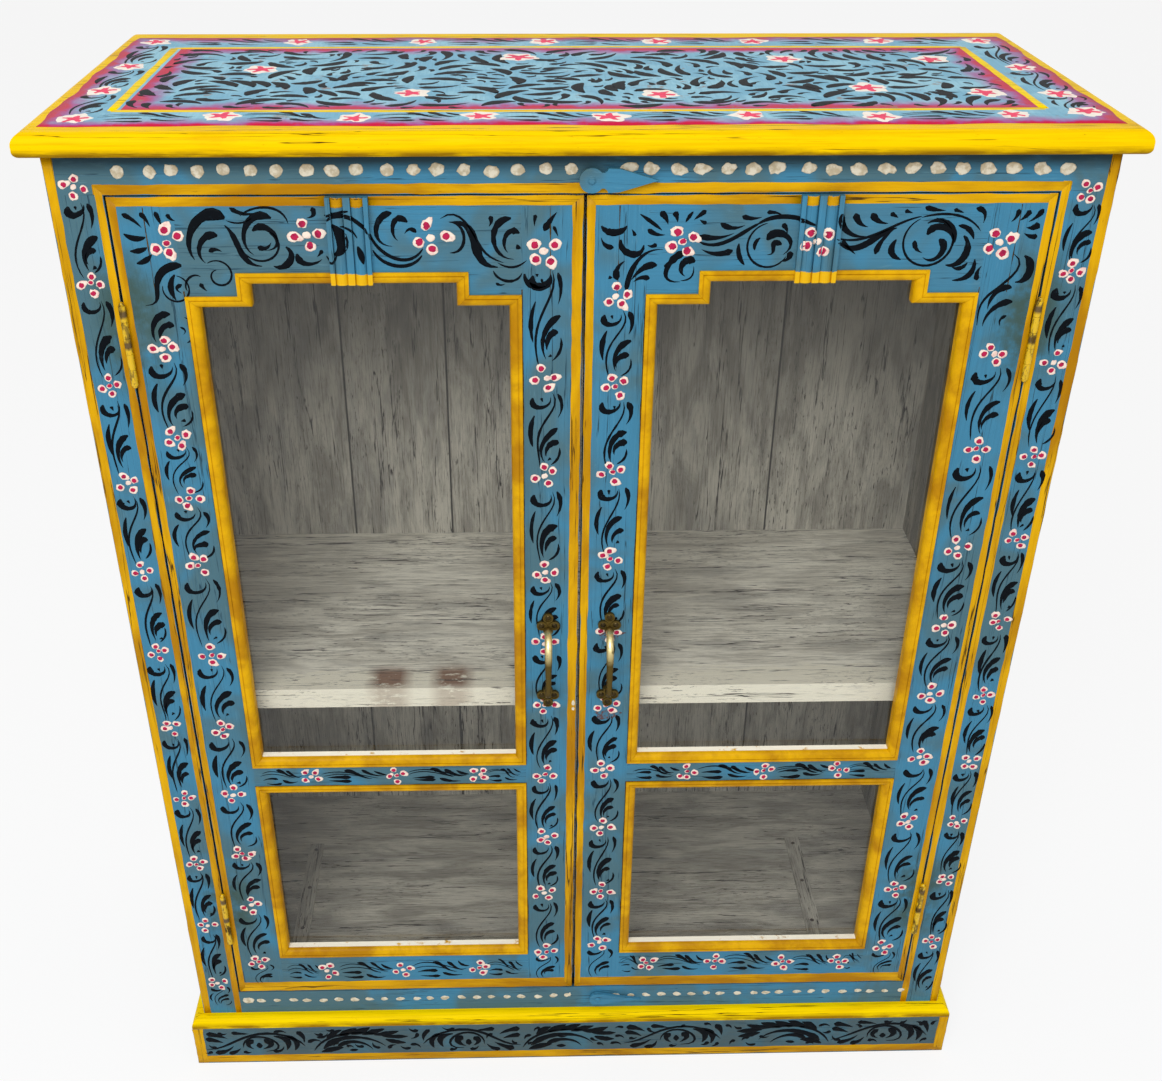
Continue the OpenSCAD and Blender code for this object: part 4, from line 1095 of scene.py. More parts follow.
print("the upright figure has", len(UPRIGHT_FIGURE), "strokes")

# %% [markdown]
# The level boards carry a second figure, lower and longer, for gaps of about 90 mm.

# %% Paint the leaves on the level boards
LEVEL_PITCH = 90.0
LEVEL_FIGURE = [
    ("line", 1.6, (4, -13), (8, -30), (4, -50), (-4, -72)),
    ("comma", 4.6, (-3, -41), (-2, -30), (-4, -17)),
    ("comma", 4.6, (-9, -43), (-9.5, -31), (-8, -19)),
    ("comma", 4.4, (10, -36), (7, -45), (0, -54), (-3, -64)),
    ("comma", 4.4, (10, -52), (5, -58), (0, -65), (0, -75)),
    ("comma", 4.0, (-5, -46), (-9, -55), (-9, -69)),
    ("leaf", 3.0, (9, -66), (4, -72), (2, -79)),
    ("line", 1.5, (1, -13), (5, -28), (2, -48), (-3, -62)),
]


def row_strokes(places, width, strokes):
    """The level figure in every gap of a row, from left to right."""
    row = sorted(places)
    for before, after in zip(row, row[1:]):
        figure_between(LEVEL_FIGURE, LEVEL_PITCH, before, after, width, strokes, keep=0.8)


print("the level figure has", len(LEVEL_FIGURE), "strokes")

# %% [markdown]
# The top rails are the showpiece: no figure repeats there. Fat commas curl into spirals, a fan
# of leaves fills the outer corner, and on the right door a long stem swings under the flowers.
# These strokes are written one by one.

# %% Paint the left door's top rail
LEFT_TOP = [
    ("comma", 4.4, (-391, 1062), (-384, 1058), (-376, 1050)),
    ("comma", 4.2, (-376, 1063), (-372, 1058), (-369, 1051)),
    ("comma", 4.6, (-363, 1064), (-361, 1058), (-359, 1052)),
    ("comma", 3.6, (-353, 1062), (-351, 1058), (-347, 1056)),
    ("leaf", 4.6, (-392, 1045), (-384, 1041), (-374, 1042)),
    ("leaf", 4.4, (-389, 1030), (-382, 1030), (-374, 1033)),
    ("leaf", 4.4, (-385, 1019), (-378, 1021), (-371, 1027)),
    ("comma", 10.0, (-305, 1058), (-320, 1061), (-336, 1045), (-335, 1022)),
    ("comma", 6.4, (-313, 1043), (-321, 1043), (-330, 1032), (-326, 1019)),
    ("comma", 4.2, (-322, 1029), (-316, 1031), (-311, 1029)),
    ("line", 2.2, coil((-316, 1008), 14, 5, 130, -250)),
    ("leaf", 4.4, (-306, 1052), (-298, 1038), (-291, 1022), (-278, 1016)),
    ("comma", 4.0, (-300, 1067), (-290, 1062), (-276, 1063)),
    ("line", 1.8, (-304, 1056), (-292, 1054), (-280, 1060)),
    ("comma", 6.4, (-266, 1058), (-282, 1058), (-291, 1042), (-284, 1026)),
    ("line", 2.2, coil((-275, 1038), 21, 10, 190, 420)),
    ("comma", 5.6, (-283, 1047), (-270, 1049), (-263, 1038), (-275, 1030)),
    ("comma", 4.2, (-280, 1033), (-273, 1032), (-268, 1037)),
    ("line", 2.4, (-292, 1060), (-275, 1067), (-259, 1064), (-252, 1053)),
    ("leaf", 5.2, (-256, 1033), (-252, 1024), (-257, 1017), (-268, 1016)),
    ("comma", 5.0, (-247, 1027), (-243, 1019), (-234, 1018), (-226, 1022)),
    ("comma", 3.2, (-225, 1030), (-228, 1026), (-230, 1024)),
    ("comma", 4.6, (-231, 1067), (-230, 1061), (-236, 1058)),
    ("line", 2.8, (-221, 1060), (-211, 1063), (-200, 1065)),
    ("line", 3.8, (-220, 1056), (-207, 1061), (-195, 1057), (-185, 1045)),
    ("leaf", 8.5, (-215, 1053), (-208, 1044), (-207, 1035), (-215, 1027)),
    ("line", 2.2, (-222, 1025), (-218, 1020), (-212, 1029)),
    ("line", 2.2, (-208, 1052), (-200, 1049), (-194, 1042)),
    ("leaf", 4.4, (-194, 1035), (-192, 1028), (-190, 1019)),
    ("comma", 7.0, (-347, 1017), (-361, 1014), (-370, 1002), (-372, 988), (-383, 981)),
    ("line", 2.0, coil((-355, 996), 12, 11, 80, -195)),
    ("leaf", 4.6, (-354, 1009), (-359, 996), (-356, 986)),
    ("comma", 3.4, (-349, 1000), (-354, 996), (-350, 992)),
    ("comma", 6.2, (-363, 973), (-374, 970), (-380, 960), (-379, 947)),
    ("comma", 6.0, (-361, 962), (-369, 962), (-374, 956), (-373, 947)),
    ("line", 2.4, (-351, 970), (-344, 962), (-345, 953), (-352, 946)),
    ("comma", 2.0, (-356, 961), (-352, 957), (-354, 954)),
    ("line", 2.2, (-345, 994), (-345, 1002), (-338, 1008), (-332, 1007)),
    ("comma", 3.4, (-333, 1001), (-331, 997), (-328, 994)),
    ("line", 3.2, (-184, 1046), (-173, 1028), (-156, 1021), (-139, 1031)),
    ("line", 3.4, (-182, 1030), (-170, 1018), (-153, 1016), (-140, 1025)),
    ("comma", 5.4, (-164, 1062), (-174, 1057), (-178, 1043), (-165, 1033)),
    ("comma", 5.4, (-151, 1054), (-161, 1056), (-164, 1049), (-160, 1038)),
    ("comma", 4.0, (-144, 1045), (-149, 1048), (-154, 1044)),
    ("line", 2.6, (-123, 1057), (-108, 1059), (-98, 1048), (-88, 1030), (-70, 1018)),
    ("leaf", 6.4, (-112, 1054), (-99, 1048), (-91, 1024), (-75, 1014)),
    ("line", 3.0, (-116, 1054), (-106, 1049), (-105, 1033), (-116, 1027)),
    ("comma", 3.8, (-81, 1059), (-80, 1054), (-82, 1050)),
    ("comma", 6.0, (-63, 1057), (-75, 1051), (-78, 1036), (-61, 1021)),
    ("comma", 5.4, (-56, 1044), (-65, 1045), (-69, 1038), (-66, 1027)),
    ("comma", 5.0, (-56, 1033), (-59, 1030)),
    ("line", 2.2, (-75, 1018), (-62, 1014), (-50, 1020)),
    ("line", 2.8, (-79, 1011), (-72, 1003), (-61, 1002), (-54, 1009)),
    ("comma", 2.4, (-77, 1000), (-73, 998), (-69, 999)),
    ("comma", 3.2, (-42, 1060), (-43, 1055), (-43, 1050)),
    ("comma", 6.0, (-35, 1046), (-31, 1053), (-24, 1062)),
    ("comma", 2.8, (-27, 1050), (-25, 1046), (-23, 1041)),
    ("leaf", 5.6, (-52, 1008), (-44, 997), (-37, 997), (-29, 1007)),
    ("comma", 2.6, (-41, 1008), (-41, 1005)),
]
print(len(LEFT_TOP), "strokes on the left top rail")

# %% Paint the right door's top rail
RIGHT_TOP = [
    ("leaf", 5.4, (14, 1050), (20, 1045), (30, 1045), (36, 1050)),
    ("comma", 4.4, (25, 1031), (18, 1033), (14, 1040)),
    ("leaf", 5.6, (31, 1038), (36, 1027), (45, 1025), (51, 1033)),
    ("comma", 4.4, (54, 1047), (60, 1043), (69, 1042)),
    ("leaf", 3.0, (47, 1060), (57, 1053), (66, 1046)),
    ("comma", 5.4, (64, 1062), (68, 1058), (71, 1051)),
    ("comma", 5.0, (76, 1062), (78, 1058), (79, 1053)),
    ("leaf", 2.8, (92, 1062), (89, 1058), (86, 1053)),
    ("comma", 4.4, (103, 1063), (98, 1059), (93, 1055)),
    ("comma", 3.4, (104, 1052), (101, 1053), (98, 1055)),
    ("comma", 3.6, (62, 1034), (58, 1032), (54, 1033)),
    ("comma", 3.0, (43, 1041), (42, 1044), (40, 1047)),
    ("comma", 5.0, (37, 992), (41, 1010), (52, 1025), (68, 1029)),
    ("comma", 6.2, (63, 1015), (54, 1014), (46, 1008), (41, 1002)),
    ("comma", 4.8, (57, 1003), (50, 1004), (43, 1000)),
    ("comma", 5.8, (29, 1002), (28, 1010), (35, 1019)),
    ("comma", 3.8, (23, 1003), (22, 1006)),
    ("comma", 2.8, (70, 1013), (72, 1018)),
    ("comma", 6.0, (88, 1026), (75, 1018), (71, 1006), (84, 1000)),
    ("line", 1.7, (84, 1001), (93, 1004), (95, 1014)),
    ("comma", 7.0, (96, 1018), (86, 1017), (84, 1011), (88, 1005)),
    ("comma", 4.8, (98, 1041), (110, 1039), (128, 1043)),
    ("line", 3.8, (98, 1036), (112, 1033), (132, 1041), (150, 1052)),
    ("line", 4.2, (148, 1051), (164, 1057), (182, 1056), (197, 1051)),
    ("comma", 5.6, (128, 1028), (114, 1025), (101, 1029)),
    ("comma", 4.8, (116, 1052), (124, 1048), (137, 1050)),
    ("comma", 4.4, (134, 1058), (141, 1056), (151, 1057)),
    ("comma", 3.4, (155, 1061), (161, 1061), (168, 1059)),
    ("line", 2.2, coil((160, 1031), 21, 17, 100, 330)),
    ("comma", 7.0, (157, 1037), (166, 1043), (176, 1038), (172, 1024)),
    ("comma", 5.2, (170, 1033), (163, 1033), (163, 1027), (158, 1024)),
    ("comma", 4.6, (169, 1051), (172, 1048), (174, 1043)),
    ("comma", 5.0, (178, 1027), (177, 1021), (170, 1018)),
    ("leaf", 4.0, (133, 1034), (134, 1023), (139, 1015)),
    ("leaf", 3.2, (151, 1039), (147, 1034), (147, 1028)),
    ("comma", 6.0, (219, 1061), (222, 1048), (229, 1042), (242, 1040)),
    ("comma", 5.6, (231, 1060), (235, 1052), (243, 1048)),
    ("comma", 5.6, (245, 1060), (250, 1054), (260, 1051)),
    ("comma", 4.0, (261, 1060), (268, 1056)),
    ("comma", 3.4, (273, 1062), (280, 1060)),
    ("line", 2.6, (216, 1039), (240, 1038), (262, 1047), (288, 1057)),
    ("leaf", 4.8, (218, 1036), (236, 1030), (252, 1039), (268, 1047)),
    ("comma", 4.2, (222, 1036), (228, 1030), (235, 1024)),
    ("comma", 5.2, (252, 1024), (256, 1035), (266, 1046)),
    ("leaf", 5.2, (269, 1037), (266, 1026), (275, 1019)),
    ("line", 2.4, coil((297, 1035), 22, 21, 115, 440)),
    ("comma", 6.6, (295, 1041), (303, 1048), (315, 1043), (317, 1028)),
    ("comma", 6.6, (306, 1037), (311, 1029), (307, 1021), (294, 1021)),
    ("comma", 4.2, (285, 1036), (287, 1029), (293, 1025)),
    ("leaf", 3.8, (294, 1051), (307, 1053), (317, 1046), (320, 1034)),
    ("line", 2.4, (288, 1056), (305, 1059), (325, 1056), (341, 1044)),
    ("comma", 4.4, (290, 1065), (298, 1063), (308, 1062)),
    ("comma", 3.4, (315, 1063), (324, 1060)),
    ("leaf", 4.2, (321, 1049), (330, 1046), (336, 1037)),
    ("leaf", 5.6, (327, 1040), (332, 1028), (327, 1017), (315, 1014)),
    ("leaf", 3.4, (334, 1016), (328, 1011), (321, 1012)),
    ("leaf", 4.4, (340, 1019), (338, 1006), (323, 1000)),
    ("comma", 4.6, (334, 1064), (341, 1061), (342, 1051)),
    ("comma", 4.4, (345, 1000), (344, 1007), (347, 1013)),
    ("comma", 4.2, (371, 1063), (370, 1057), (366, 1052)),
    ("comma", 4.6, (381, 1062), (378, 1057), (373, 1053)),
    ("comma", 4.8, (392, 1063), (388, 1057), (381, 1052)),
    ("comma", 6.0, (391, 1050), (386, 1047), (380, 1047)),
    ("comma", 4.8, (391, 1039), (386, 1039), (379, 1042)),
    ("leaf", 6.4, (383, 1022), (390, 1012), (389, 1004), (379, 998)),
    ("line", 2.6, (373, 1024), (380, 1013), (370, 998), (355, 983), (352, 958)),
    ("comma", 5.6, (377, 993), (368, 992), (361, 984), (359, 973)),
    ("comma", 5.6, (380, 980), (370, 978), (361, 970), (357, 957)),
    ("leaf", 3.6, (346, 989), (342, 974), (345, 957)),
    ("comma", 3.0, (377, 967), (372, 963), (373, 957)),
]
print(len(RIGHT_TOP), "strokes on the right top rail")

# %% Lay the black leaves
LOWEST_LEAF, BESIDE_HINGE, BESIDE_MEETING = 122, 350, 52
for side, plan, top_rail, sign in (("left", LEFT_FLOWERS, LEFT_TOP, -1),
                                   ("right", RIGHT_FLOWERS, RIGHT_TOP, 1)):
    strokes = list(top_rail)
    for column, breadth in (("hinge", 1.0), ("meeting", 0.85)):
        column_strokes(plan[column], breadth, strokes)
    for row, breadth in (("mid", 0.82), ("bottom", 1.25)):
        level_z = plan[row][0][1]
        ends = [(sign * BESIDE_HINGE, level_z), (sign * BESIDE_MEETING, level_z)]
        row_strokes(plan[row] + ends, breadth, strokes)
    for column in ("hinge", "meeting"):
        lowest = plan[column][-1]
        figure_between(UPRIGHT_FIGURE[:ALWAYS], UPRIGHT_PITCH, lowest,
                       (lowest[0], LOWEST_LEAF), 0.9, strokes)
    painted(f"{side}_door_leaves", f"{side}_door",
            stroke_solids(strokes, on_doors, LEAF_RISE), lamp_black)

strokes = []
for column in (LEFT_FRAME, RIGHT_FRAME):
    column_strokes(column + [(column[-1][0], moulding_top + 8)], 0.72, strokes)
painted("frame_leaves", "cabinet", stroke_solids(strokes, on_frame, LEAF_RISE), lamp_black)

# %% [markdown]
# ## Dabs and scrolls
# Rows of cream dabs run along the frieze and the sill. On the frieze the left half is round and
# the right half is drawn out to the right, as if the brush was lifted on the way. On the plinth
# two figures take turns: a ring of commas, and a spray of leaves on one long stem.

# %% Dab the frieze and the sill
FRIEZE_DAB_Z, SILL_DAB_Z = 1098, 95
FRIEZE_DABS, SILL_DAB_STEP = 18, 17.3
dabs = []
for start, stop, outline in ((-389, -13, "round"), (32, 405, "tear")):
    for u in np.linspace(start, stop, FRIEZE_DABS):
        dabs.append((outline, u + rng.normal(0, 1.5), FRIEZE_DAB_Z + rng.normal(0, 0.7),
                     rng.uniform(5.7, 6.8), rng.uniform(5.0, 5.8), rng.normal(0, 0.12)))
for start, stop in ((-378, -6), (52, 402)):
    for u in np.linspace(start, stop, int((stop - start) / SILL_DAB_STEP)):
        dabs.append(("tear", u + rng.normal(0, 1.2), SILL_DAB_Z + rng.normal(0, 0.6),
                     rng.uniform(3.8, 4.8), rng.uniform(2.9, 3.6), rng.normal(0, 0.15)))
dabs.append(("round", -394, SILL_DAB_Z + 1, 7.5, 4.8, 0.0))
dabs.append(("tear", -4, SILL_DAB_Z + 2, 3.0, 1.6, 1.5))
painted("frame_dabs", "cabinet", dab_solids(dabs, on_frame, PETAL_RISE), cream_paint)

# %% Scroll the plinth
# Both figures are drawn 120 mm long, and stretched on the plinth: along it to fit, and upwards
# by the height factor, from the foot on. The margin is what stays free at both ends.
SCROLL_PITCH, SCROLL_BOLDNESS = 120.0, 1.42
SCROLL_MARGIN, SCROLL_FOOT, SCROLL_HEIGHT = 14, 14.5, 0.77
FILL_TRIES, FILL_ROOM = 2500, 4.1
RING_SCROLL = [
    ("line", 3.0, (0, 12), (20, 22), (45, 42), (80, 47), (112, 18)),
    ("line", 2.6, coil((62, 23), 22, 19, 200, -120, 0.85)),
    ("comma", 5.5, (54, 33), (48, 22), (54, 12)),
    ("comma", 6.5, (66, 35), (72, 25), (64, 12)),
    ("leaf", 4.5, (60, 27), (60, 14)),
    ("leaf", 4.8, (78, 42), (92, 30), (90, 10)),
    ("leaf", 4.8, (88, 44), (102, 28), (100, 8)),
    ("comma", 5.8, (2, 50), (12, 46), (24, 40)),
    ("comma", 5.5, (0, 38), (10, 34), (20, 28)),
    ("comma", 5.2, (8, 4), (20, 9), (30, 20)),
    ("comma", 4.8, (24, 2), (33, 7), (38, 16)),
    ("comma", 5.0, (104, 52), (110, 40), (112, 26)),
    ("comma", 4.6, (30, 52), (40, 50), (50, 47)),
]
SPRAY_SCROLL = [
    ("line", 3.0, (2, 6), (20, 34), (45, 46), (82, 40)),
    ("leaf", 5.4, (18, 34), (24, 44), (36, 54)),
    ("leaf", 5.4, (30, 40), (40, 48), (52, 57)),
    ("leaf", 5.4, (44, 45), (56, 50), (68, 57)),
    ("leaf", 5.4, (58, 44), (70, 48), (84, 55)),
    ("leaf", 5.2, (72, 42), (86, 44), (100, 50)),
    ("leaf", 5.0, (82, 38), (96, 36), (110, 36)),
    ("leaf", 4.8, (84, 31), (96, 25), (108, 22)),
    ("comma", 5.6, (12, 10), (40, 34), (70, 30), (84, 14)),
    ("comma", 5.0, (30, 14), (48, 25), (62, 19), (70, 7)),
    ("leaf", 5.2, (10, 3), (24, 10), (36, 13)),
    ("leaf", 3.4, (42, 7), (52, 8)),
]


def scroll_band(start, stop, level, high_by, strokes):
    """Fills a board with the two scrolls in turn, every third one mirrored, all scaled so that
    a whole number of them fits."""
    count = max(1, round((stop - start) / SCROLL_PITCH))
    step = (stop - start) / count
    for number in range(count):
        flip = number % 3 == 2
        for kind, width, *path in (RING_SCROLL, SPRAY_SCROLL)[number % 2]:
            points = path[0](24) if callable(path[0]) else np.array(path, float)
            across = SCROLL_PITCH - points[:, 0] if flip else points[:, 0]
            points = np.stack([start + step * (number + across / SCROLL_PITCH),
                               level + points[:, 1] * high_by], 1)
            if callable(path[0]):
                points = points[::5]
            strokes.append((kind, SCROLL_BOLDNESS * width * rng.uniform(0.9, 1.1),
                            *map(tuple, points + rng.normal(0, 0.6, points.shape))))


strokes = []
scroll_band(-plinth_out + SCROLL_MARGIN, plinth_out - SCROLL_MARGIN, SCROLL_FOOT,
            SCROLL_HEIGHT, strokes)
# Small commas crowd into whatever room the scrolls leave
taken = np.concatenate([through(path, 9) for _, _, *path in strokes])
for _ in range(FILL_TRIES):
    foot = np.array([rng.uniform(-plinth_out + 18, plinth_out - 18), rng.uniform(17, 57)])
    heading = rng.choice([0.0, math.pi]) + rng.uniform(-0.9, 0.9)
    ahead = rng.uniform(9, 17) * towards(heading)
    bend = rng.choice([-1, 1]) * 0.25 * np.array([-ahead[1], ahead[0]])
    path = through([foot, foot + ahead / 2 + bend, foot + ahead], 5)
    clear = np.linalg.norm(taken[:, None] - path, axis=2).min() > FILL_ROOM
    if clear and 15.5 < path[:, 1].min() and path[:, 1].max() < plinth_top - 3:
        taken = np.concatenate([taken, path])
        strokes.append(("comma", rng.uniform(4.4, 5.4), *map(tuple, path[::2])))
painted("plinth_scrolls", "cabinet", stroke_solids(strokes, on_plinth, LEAF_RISE), lamp_black)

# %% [markdown]
# ## The painted top
# The top is the brightest face: a sky-blue field inside the yellow edge, flushed with purple
# and crimson along its rim, and again inside a yellow rectangle. The flush was rubbed into the
# wet blue, so it has no edge. It could be a mask on the board itself, but the field has an
# uneven border of its own, so it is a thin sheet of paint on the board. The colour of the
# flush comes from the distance to two rectangles, worked out from the object coordinates.

# %% Mix the paint of the top


def rim_distance(tree, at, half_x, middle_y, half_y):
    """How far a point lies inside a rectangle, in metres, negative outside: the smaller of the
    distances to its nearest side along X and along Y."""
    x, y, _ = add(tree, "SeparateXYZ", {"Vector": at}).outputs
    from_middle = add(tree, "Math", {0: y, 1: middle_y * MM}, operation="SUBTRACT")
    insets = [add(tree, "Math", {0: half * MM, 1: add(tree, "Math", {0: value},
                                                      operation="ABSOLUTE")},
                  operation="SUBTRACT")
              for half, value in ((half_x, x), (half_y, from_middle))]
    return add(tree, "Math", {0: insets[0], 1: insets[1]}, operation="MINIMUM")


FIELD_HALF, FIELD_FRONT, FIELD_BACK = 451.0, front_y + 5, front_y + 370
LINE_LEFT, LINE_RIGHT = -402.0, 398.0
LINE_FRONT, LINE_BACK = front_y + 57, front_y + 318

top_paint, tree, at = begin("milk_paint_sky_blue_flushed")
ground = coats(
    tree, "#76afc8",
    (drifts(tree, at, 60, (0.42, 0.62), warp=0.5), "#93c5d6"),
    (drifts(tree, at, 2.0, (0.35, 0.8), stretch=(1, 14, 1), strength=0.35), "#4f8ba4"))
for half_x, back, front, reach in (
        (FIELD_HALF + 3, FIELD_BACK + 3, FIELD_FRONT - 3, 40),
        (LINE_RIGHT - 3, LINE_BACK - 3, LINE_FRONT + 3, 38)):
    inset = rim_distance(tree, at, half_x, (back + front) / 2, (back - front) / 2)
    inner = add(tree, "Math", {0: inset, 1: 0.0}, operation="GREATER_THAN")
    waver = drifts(tree, at, 30, (0.3, 0.7), 2.0, strength=14 * MM)
    inset = add(tree, "Math", {0: inset, 1: waver}, operation="ADD")
    for far, near, tone, share in ((reach, 15, "#a2438a", 0.97), (22, 11, "#c21238", 0.95)):
        flush = add(tree, "MapRange", {"Value": inset, "From Min": far * MM,
                                       "From Max": near * MM, "To Max": share},
                    interpolation_type="SMOOTHSTEP")
        ground = coats(tree, ground, (flush, inner, tone))
worn = drifts(tree, at, 26, (0.60, 0.68), 11.0, detail=7, rough=0.7, strength=0.8)
ground = coats(tree, ground, (worn, "#8d7466"),
               (drifts(tree, at, 3.0, (0.70, 0.74), 7.0, detail=8, rough=0.75), "#3d4f5c"))
end(tree, ground, 0.42, drifts(tree, at, 2.0, (0.3, 0.8), stretch=(1, 14, 1)), 0.12, 0.06)
print("top paint reaches", FIELD_HALF, "mm from the middle")

# %% Lay the painted field


def sheet(lie, left, right_side, bottom, top, rise, wobble, step=12.0):
    """Points and faces of one thin sheet of paint: a grid whose outline strays by the wobble
    in slow waves, closed by a floor of its own under the surface."""
    columns = max(2, int((right_side - left) / step))
    rows = max(2, int((top - bottom) / step))
    s, t = np.meshgrid(np.linspace(-1, 1, columns), np.linspace(-1, 1, rows), indexing="ij")
    wave_s = wobble * (np.sin(9 * t + 1.3) + 0.6 * np.sin(23 * t))
    wave_t = wobble * (np.sin(13 * s + 0.4) + 0.6 * np.sin(31 * s))
    u = (left + right_side) / 2 + s * ((right_side - left) / 2 + wave_s * np.abs(s) ** 8)
    v = (bottom + top) / 2 + t * ((top - bottom) / 2 + wave_t * np.abs(t) ** 8)
    above, below = (lie(u, v, np.full(u.shape, lift)).reshape(-1, 3)
                    for lift in (rise, -PAINT_SINK))
    index = np.arange(u.size).reshape(u.shape)
    quads = np.stack([index[:-1, :-1], index[1:, :-1], index[1:, 1:], index[:-1, 1:]],
                     -1).reshape(-1, 4)
    edge = np.concatenate([index[:, 0], index[-1, 1:], index[-2::-1, -1], index[0, -2:0:-1]])
    after = np.roll(edge, -1)
    walls = np.stack([edge, edge + u.size, after + u.size, after], -1)
    return (np.concatenate([above, below]),
            np.concatenate([quads, quads[:, ::-1] + u.size, walls]))


painted("top_field", "cabinet", sheet(on_top, -FIELD_HALF, FIELD_HALF, FIELD_FRONT, FIELD_BACK,
                                      FIELD_RISE, 1.4), top_paint)
TOP_LINE_W = 8
lines = [band(TOP_LINE_W, (LINE_LEFT, v), (0, v + bow), (LINE_RIGHT, v)) for v, bow in
         ((LINE_FRONT, -3), (LINE_BACK, 4))]
lines += [band(TOP_LINE_W, (u, LINE_FRONT), (u, LINE_BACK)) for u in (LINE_LEFT, LINE_RIGHT)]
painted("top_line", "cabinet", stroke_solids(lines, on_top, TOP_LINE_RISE), yellow_lit)

# %% [markdown]
# The flowers of the top are larger and painted wet in wet: one white touch with a ragged edge,
# and a rose star pressed into it. Between them the black leaves grow in sprigs. A sprig is a
# bent spine with leaves in pairs. Smaller leaves fill the gaps and lie along slow waves, as
# if one wind bent them. Each leaf is kept only where it finds room, so the leaves fill the field
# as closely as the painter's do.

# %% Paint the flowers of the top
# Places on the top: from the middle to the right, and from the front backwards
BORDER_FLOWERS = [(u, 32 + 6 * (i % 2)) for i, u in
                  enumerate((-427, -305, -193, -88, 22, 138, 250, 365))]
BORDER_FLOWERS += [(u, 349) for u in (-427, -282, -153, -28, 88, 188, 318, 423)]
BORDER_FLOWERS += [(-427, 232), (-427, 132), (428, 220), (428, 112), (430, 46)]
FIELD_FLOWERS = [(-300, 218), (-55, 272), (-150, 120), (70, 115), (205, 262), (352, 260),
                 (262, 137), (365, 117)]
whites, roses = [], []
for places, size in ((BORDER_FLOWERS, 16.5), (FIELD_FLOWERS, 19.0)):
    for u, y in places:
        a = size * rng.uniform(0.9, 1.08)
        turned = rng.uniform(0, 6.28)
        whites.append(("scallop", u, front_y + y, a, a * 0.94, turned))
        roses.append(("star", u + rng.normal(0, 0.8), front_y + y + rng.normal(0, 0.8),
                      a * 0.68, a * 0.64, turned + rng.normal(0, 0.3)))
painted("top_petals", "cabinet", dab_solids(whites, on_top, TOP_PETAL_RISE, 30), white_paint)
painted("top_hearts", "cabinet", dab_solids(roses, on_top, TOP_HEART_RISE, 30), rose_paint)

# %% Grow the leaves of the top
FLOWER_ROOM = 16.0
SPRIG_PITCH, SPRIG_STEP, SPRIG_PAIRS = 74, 20.0, 6
LEAF_TRIES, TOP_BORDER_BOLDNESS = 2600, 1.75
field_box = np.array([[LINE_LEFT + 9, LINE_FRONT + 8], [LINE_RIGHT - 9, LINE_BACK - 8]])
flower_at = np.array([(u, front_y + y) for u, y in FIELD_FLOWERS])
grown, grown_points = [], []


def keep_leaf(kind, width, path, room=6.4):
    """Keeps a leaf if all its points are in the field, off the flowers and clear of the leaves
    that grew before it by the given room."""
    points = through(path, 7)
    if (points < field_box[0]).any() or (points > field_box[1]).any():
        return
    if np.linalg.norm(points[:, None] - flower_at, axis=2).min() < FLOWER_ROOM:
        return
    if grown and np.linalg.norm(points[:, None] - np.concatenate(grown_points),
                                axis=2).min() < room:
        return
    grown.append((kind, width, *map(tuple, path)))
    grown_points.append(points)


def leaf_path(root, heading, length, bend):
    """Three points of a leaf that starts at its root and turns by the bend on its way."""
    root = np.asarray(root, float)
    middle = root + length / 2 * towards(heading)
    return [root, middle, middle + length / 2 * towards(heading + bend)]


def sprig(root, heading, bend, pairs):
    """A spine of short steps that turns a little at each, with a leaf at both sides of every
    step. The leaves lean forward and bend outwards, and get shorter towards the tip."""
    place = np.asarray(root, float)
    for step in range(pairs):
        length = 44 * (1 - 0.4 * step / pairs) * rng.uniform(0.85, 1.1)
        for side in (-1, 1):
            lean = heading + side * rng.uniform(0.45, 0.7)
            foot = place + 3.0 * towards(lean)
            keep_leaf("leaf", rng.uniform(12.5, 15), leaf_path(foot, lean, length, side * 0.6))
        heading += bend
        place = place + SPRIG_STEP * towards(heading)
    keep_leaf("leaf", 12, leaf_path(place, heading, 32, bend))


for u in np.arange(field_box[0, 0] + 30, field_box[1, 0] - 20, SPRIG_PITCH):
    for v in (field_box[0, 1] + 24, field_box[0, 1] + 104, field_box[1, 1] - 62):
        sprig((u + rng.uniform(-20, 20), v + rng.uniform(-14, 14)), rng.uniform(0, 6.28),
              rng.choice([-1, 1]) * rng.uniform(0.15, 0.4), SPRIG_PAIRS)
for width, length, room in ((13.5, 44, 8.2), (10.5, 27, 6.5), (7.4, 15, 5.1)):
    for _ in range(LEAF_TRIES):
        root = rng.uniform(field_box[0], field_box[1])
        wind = 1.3 * math.sin(root[0] / 62 + root[1] / 80) + 0.9 * math.cos(root[1] / 38)
        path = leaf_path(root, wind + rng.normal(0, 0.3), length * rng.uniform(0.8, 1.2),
                         rng.choice([-1, 1]) * rng.uniform(0.5, 1.0))
        keep_leaf("comma", width * rng.uniform(0.85, 1.15), path, room)
front_row = [(u, y) for u, y in BORDER_FLOWERS if y < 50 and u < 429]
back_row = [(u, y) for u, y in BORDER_FLOWERS if y > 340]
edge_strokes = []
for row in (front_row, back_row):
    row_strokes([(u, front_y + y) for u, y in row], 1.35, edge_strokes)
for u, ys in ((-427, (349, 232, 132, 38)), (428, (349, 220, 112, 46))):
    column_strokes([(u, front_y + y) for y in ys], 0.9, edge_strokes)
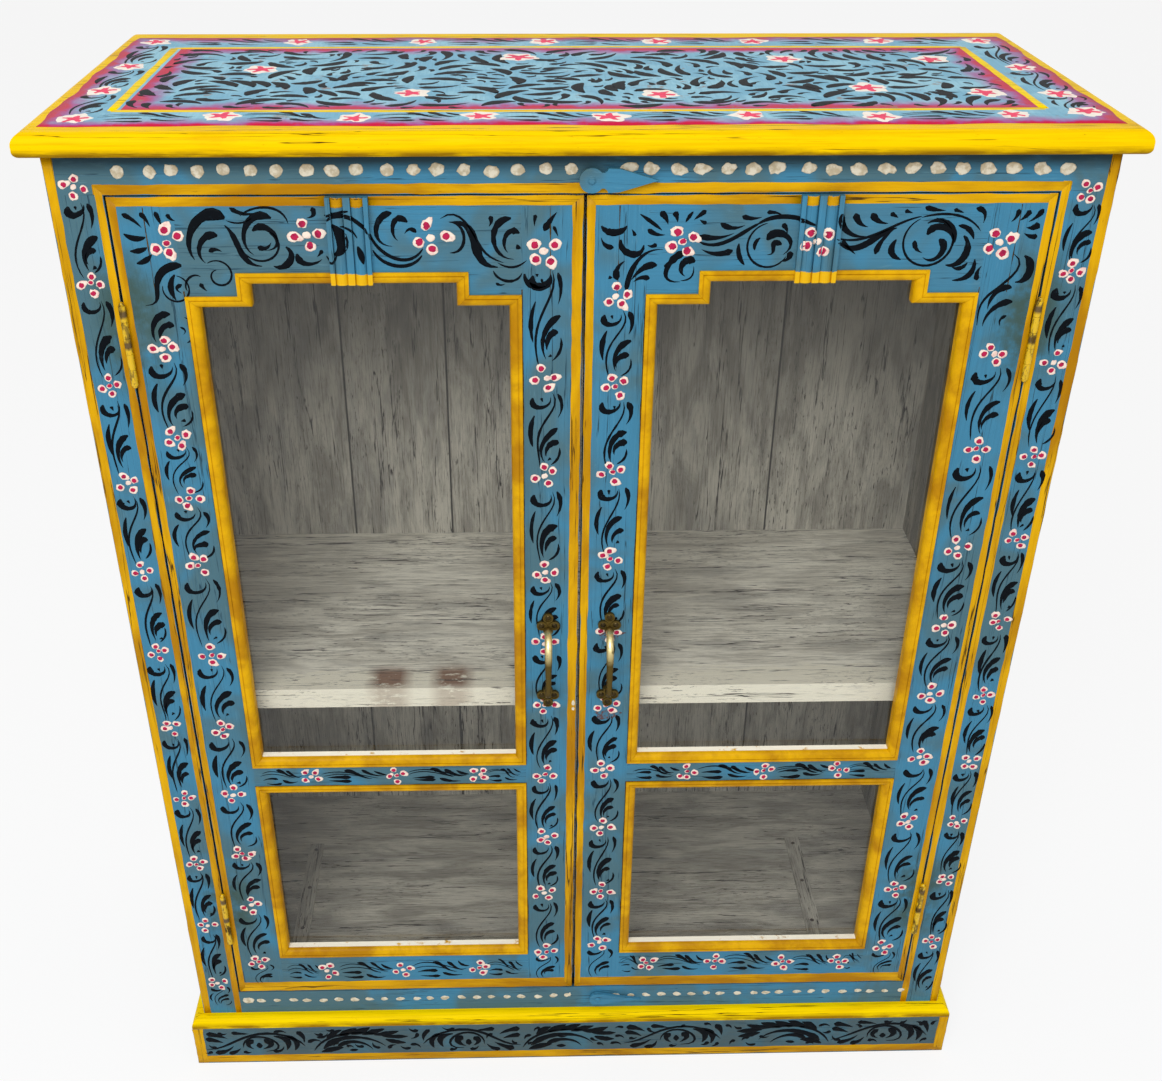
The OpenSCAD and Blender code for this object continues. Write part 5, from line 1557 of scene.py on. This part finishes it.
strokes = grown + [(kind, TOP_BORDER_BOLDNESS * width, *path)
                   for kind, width, *path in edge_strokes]
painted("top_leaves", "cabinet", stroke_solids(strokes, on_top, TOP_LEAF_RISE), lamp_black)
print(len(grown), "leaves in the field")

# %% [markdown]
# ## The sides
# The photograph does not show the sides. They are painted in the manner of the top: a border
# with flowers and leaves between two yellow lines, round a plain blue field.

# %% Paint the sides
INNER_LINE, SIDE_COLUMN = 66.0, 36.0
OUTER_LINE_W, INNER_LINE_W = 9, 7
COLUMN_FLOWERS, ROW_FLOWERS = 11, 5
SIDE_LINE_RISE = 0.13
for side, lie in (("left", on_left), ("right", on_right)):
    painted(f"{side}_side_paint", "cabinet",
            sheet(lie, front_y + 0.3, back_y - 0.3, moulding_top + 0.5, under_top_z - 0.5,
                  FIELD_RISE, 0.0, 40), blue_side)
    lines = frame_of_bands(front_y + 0.5, back_y - 0.5, moulding_top + 0.6, under_top_z - 0.6,
                           *4 * [OUTER_LINE_W])
    lines += frame_of_bands(front_y + INNER_LINE, back_y - INNER_LINE,
                            moulding_top + INNER_LINE, under_top_z - INNER_LINE,
                            *4 * [INNER_LINE_W])
    painted(f"{side}_side_lines", "cabinet", stroke_solids(lines, lie, SIDE_LINE_RISE),
            yellow_upright)
    strokes, petals, hearts = [], [], []
    top, bottom = under_top_z - SIDE_COLUMN, moulding_top + SIDE_COLUMN
    front, back = front_y + SIDE_COLUMN, back_y - SIDE_COLUMN
    for u in (front, back):
        column = [(u, v) for v in np.linspace(top, bottom, COLUMN_FLOWERS)]
        column_strokes(column, 0.95, strokes)
        for place in column:
            flower(*place, BIG, petals, hearts)
    for v in (top, bottom):
        row = [(u, v) for u in np.linspace(front, back, ROW_FLOWERS)]
        row_strokes(row, 1.2, strokes)
        for place in row[1:-1]:
            flower(*place, BIG, petals, hearts)
    painted(f"{side}_side_leaves", "cabinet", stroke_solids(strokes, lie, LEAF_RISE),
            lamp_black)
    paint_flowers(f"{side}_side", "cabinet", petals, hearts, lie)
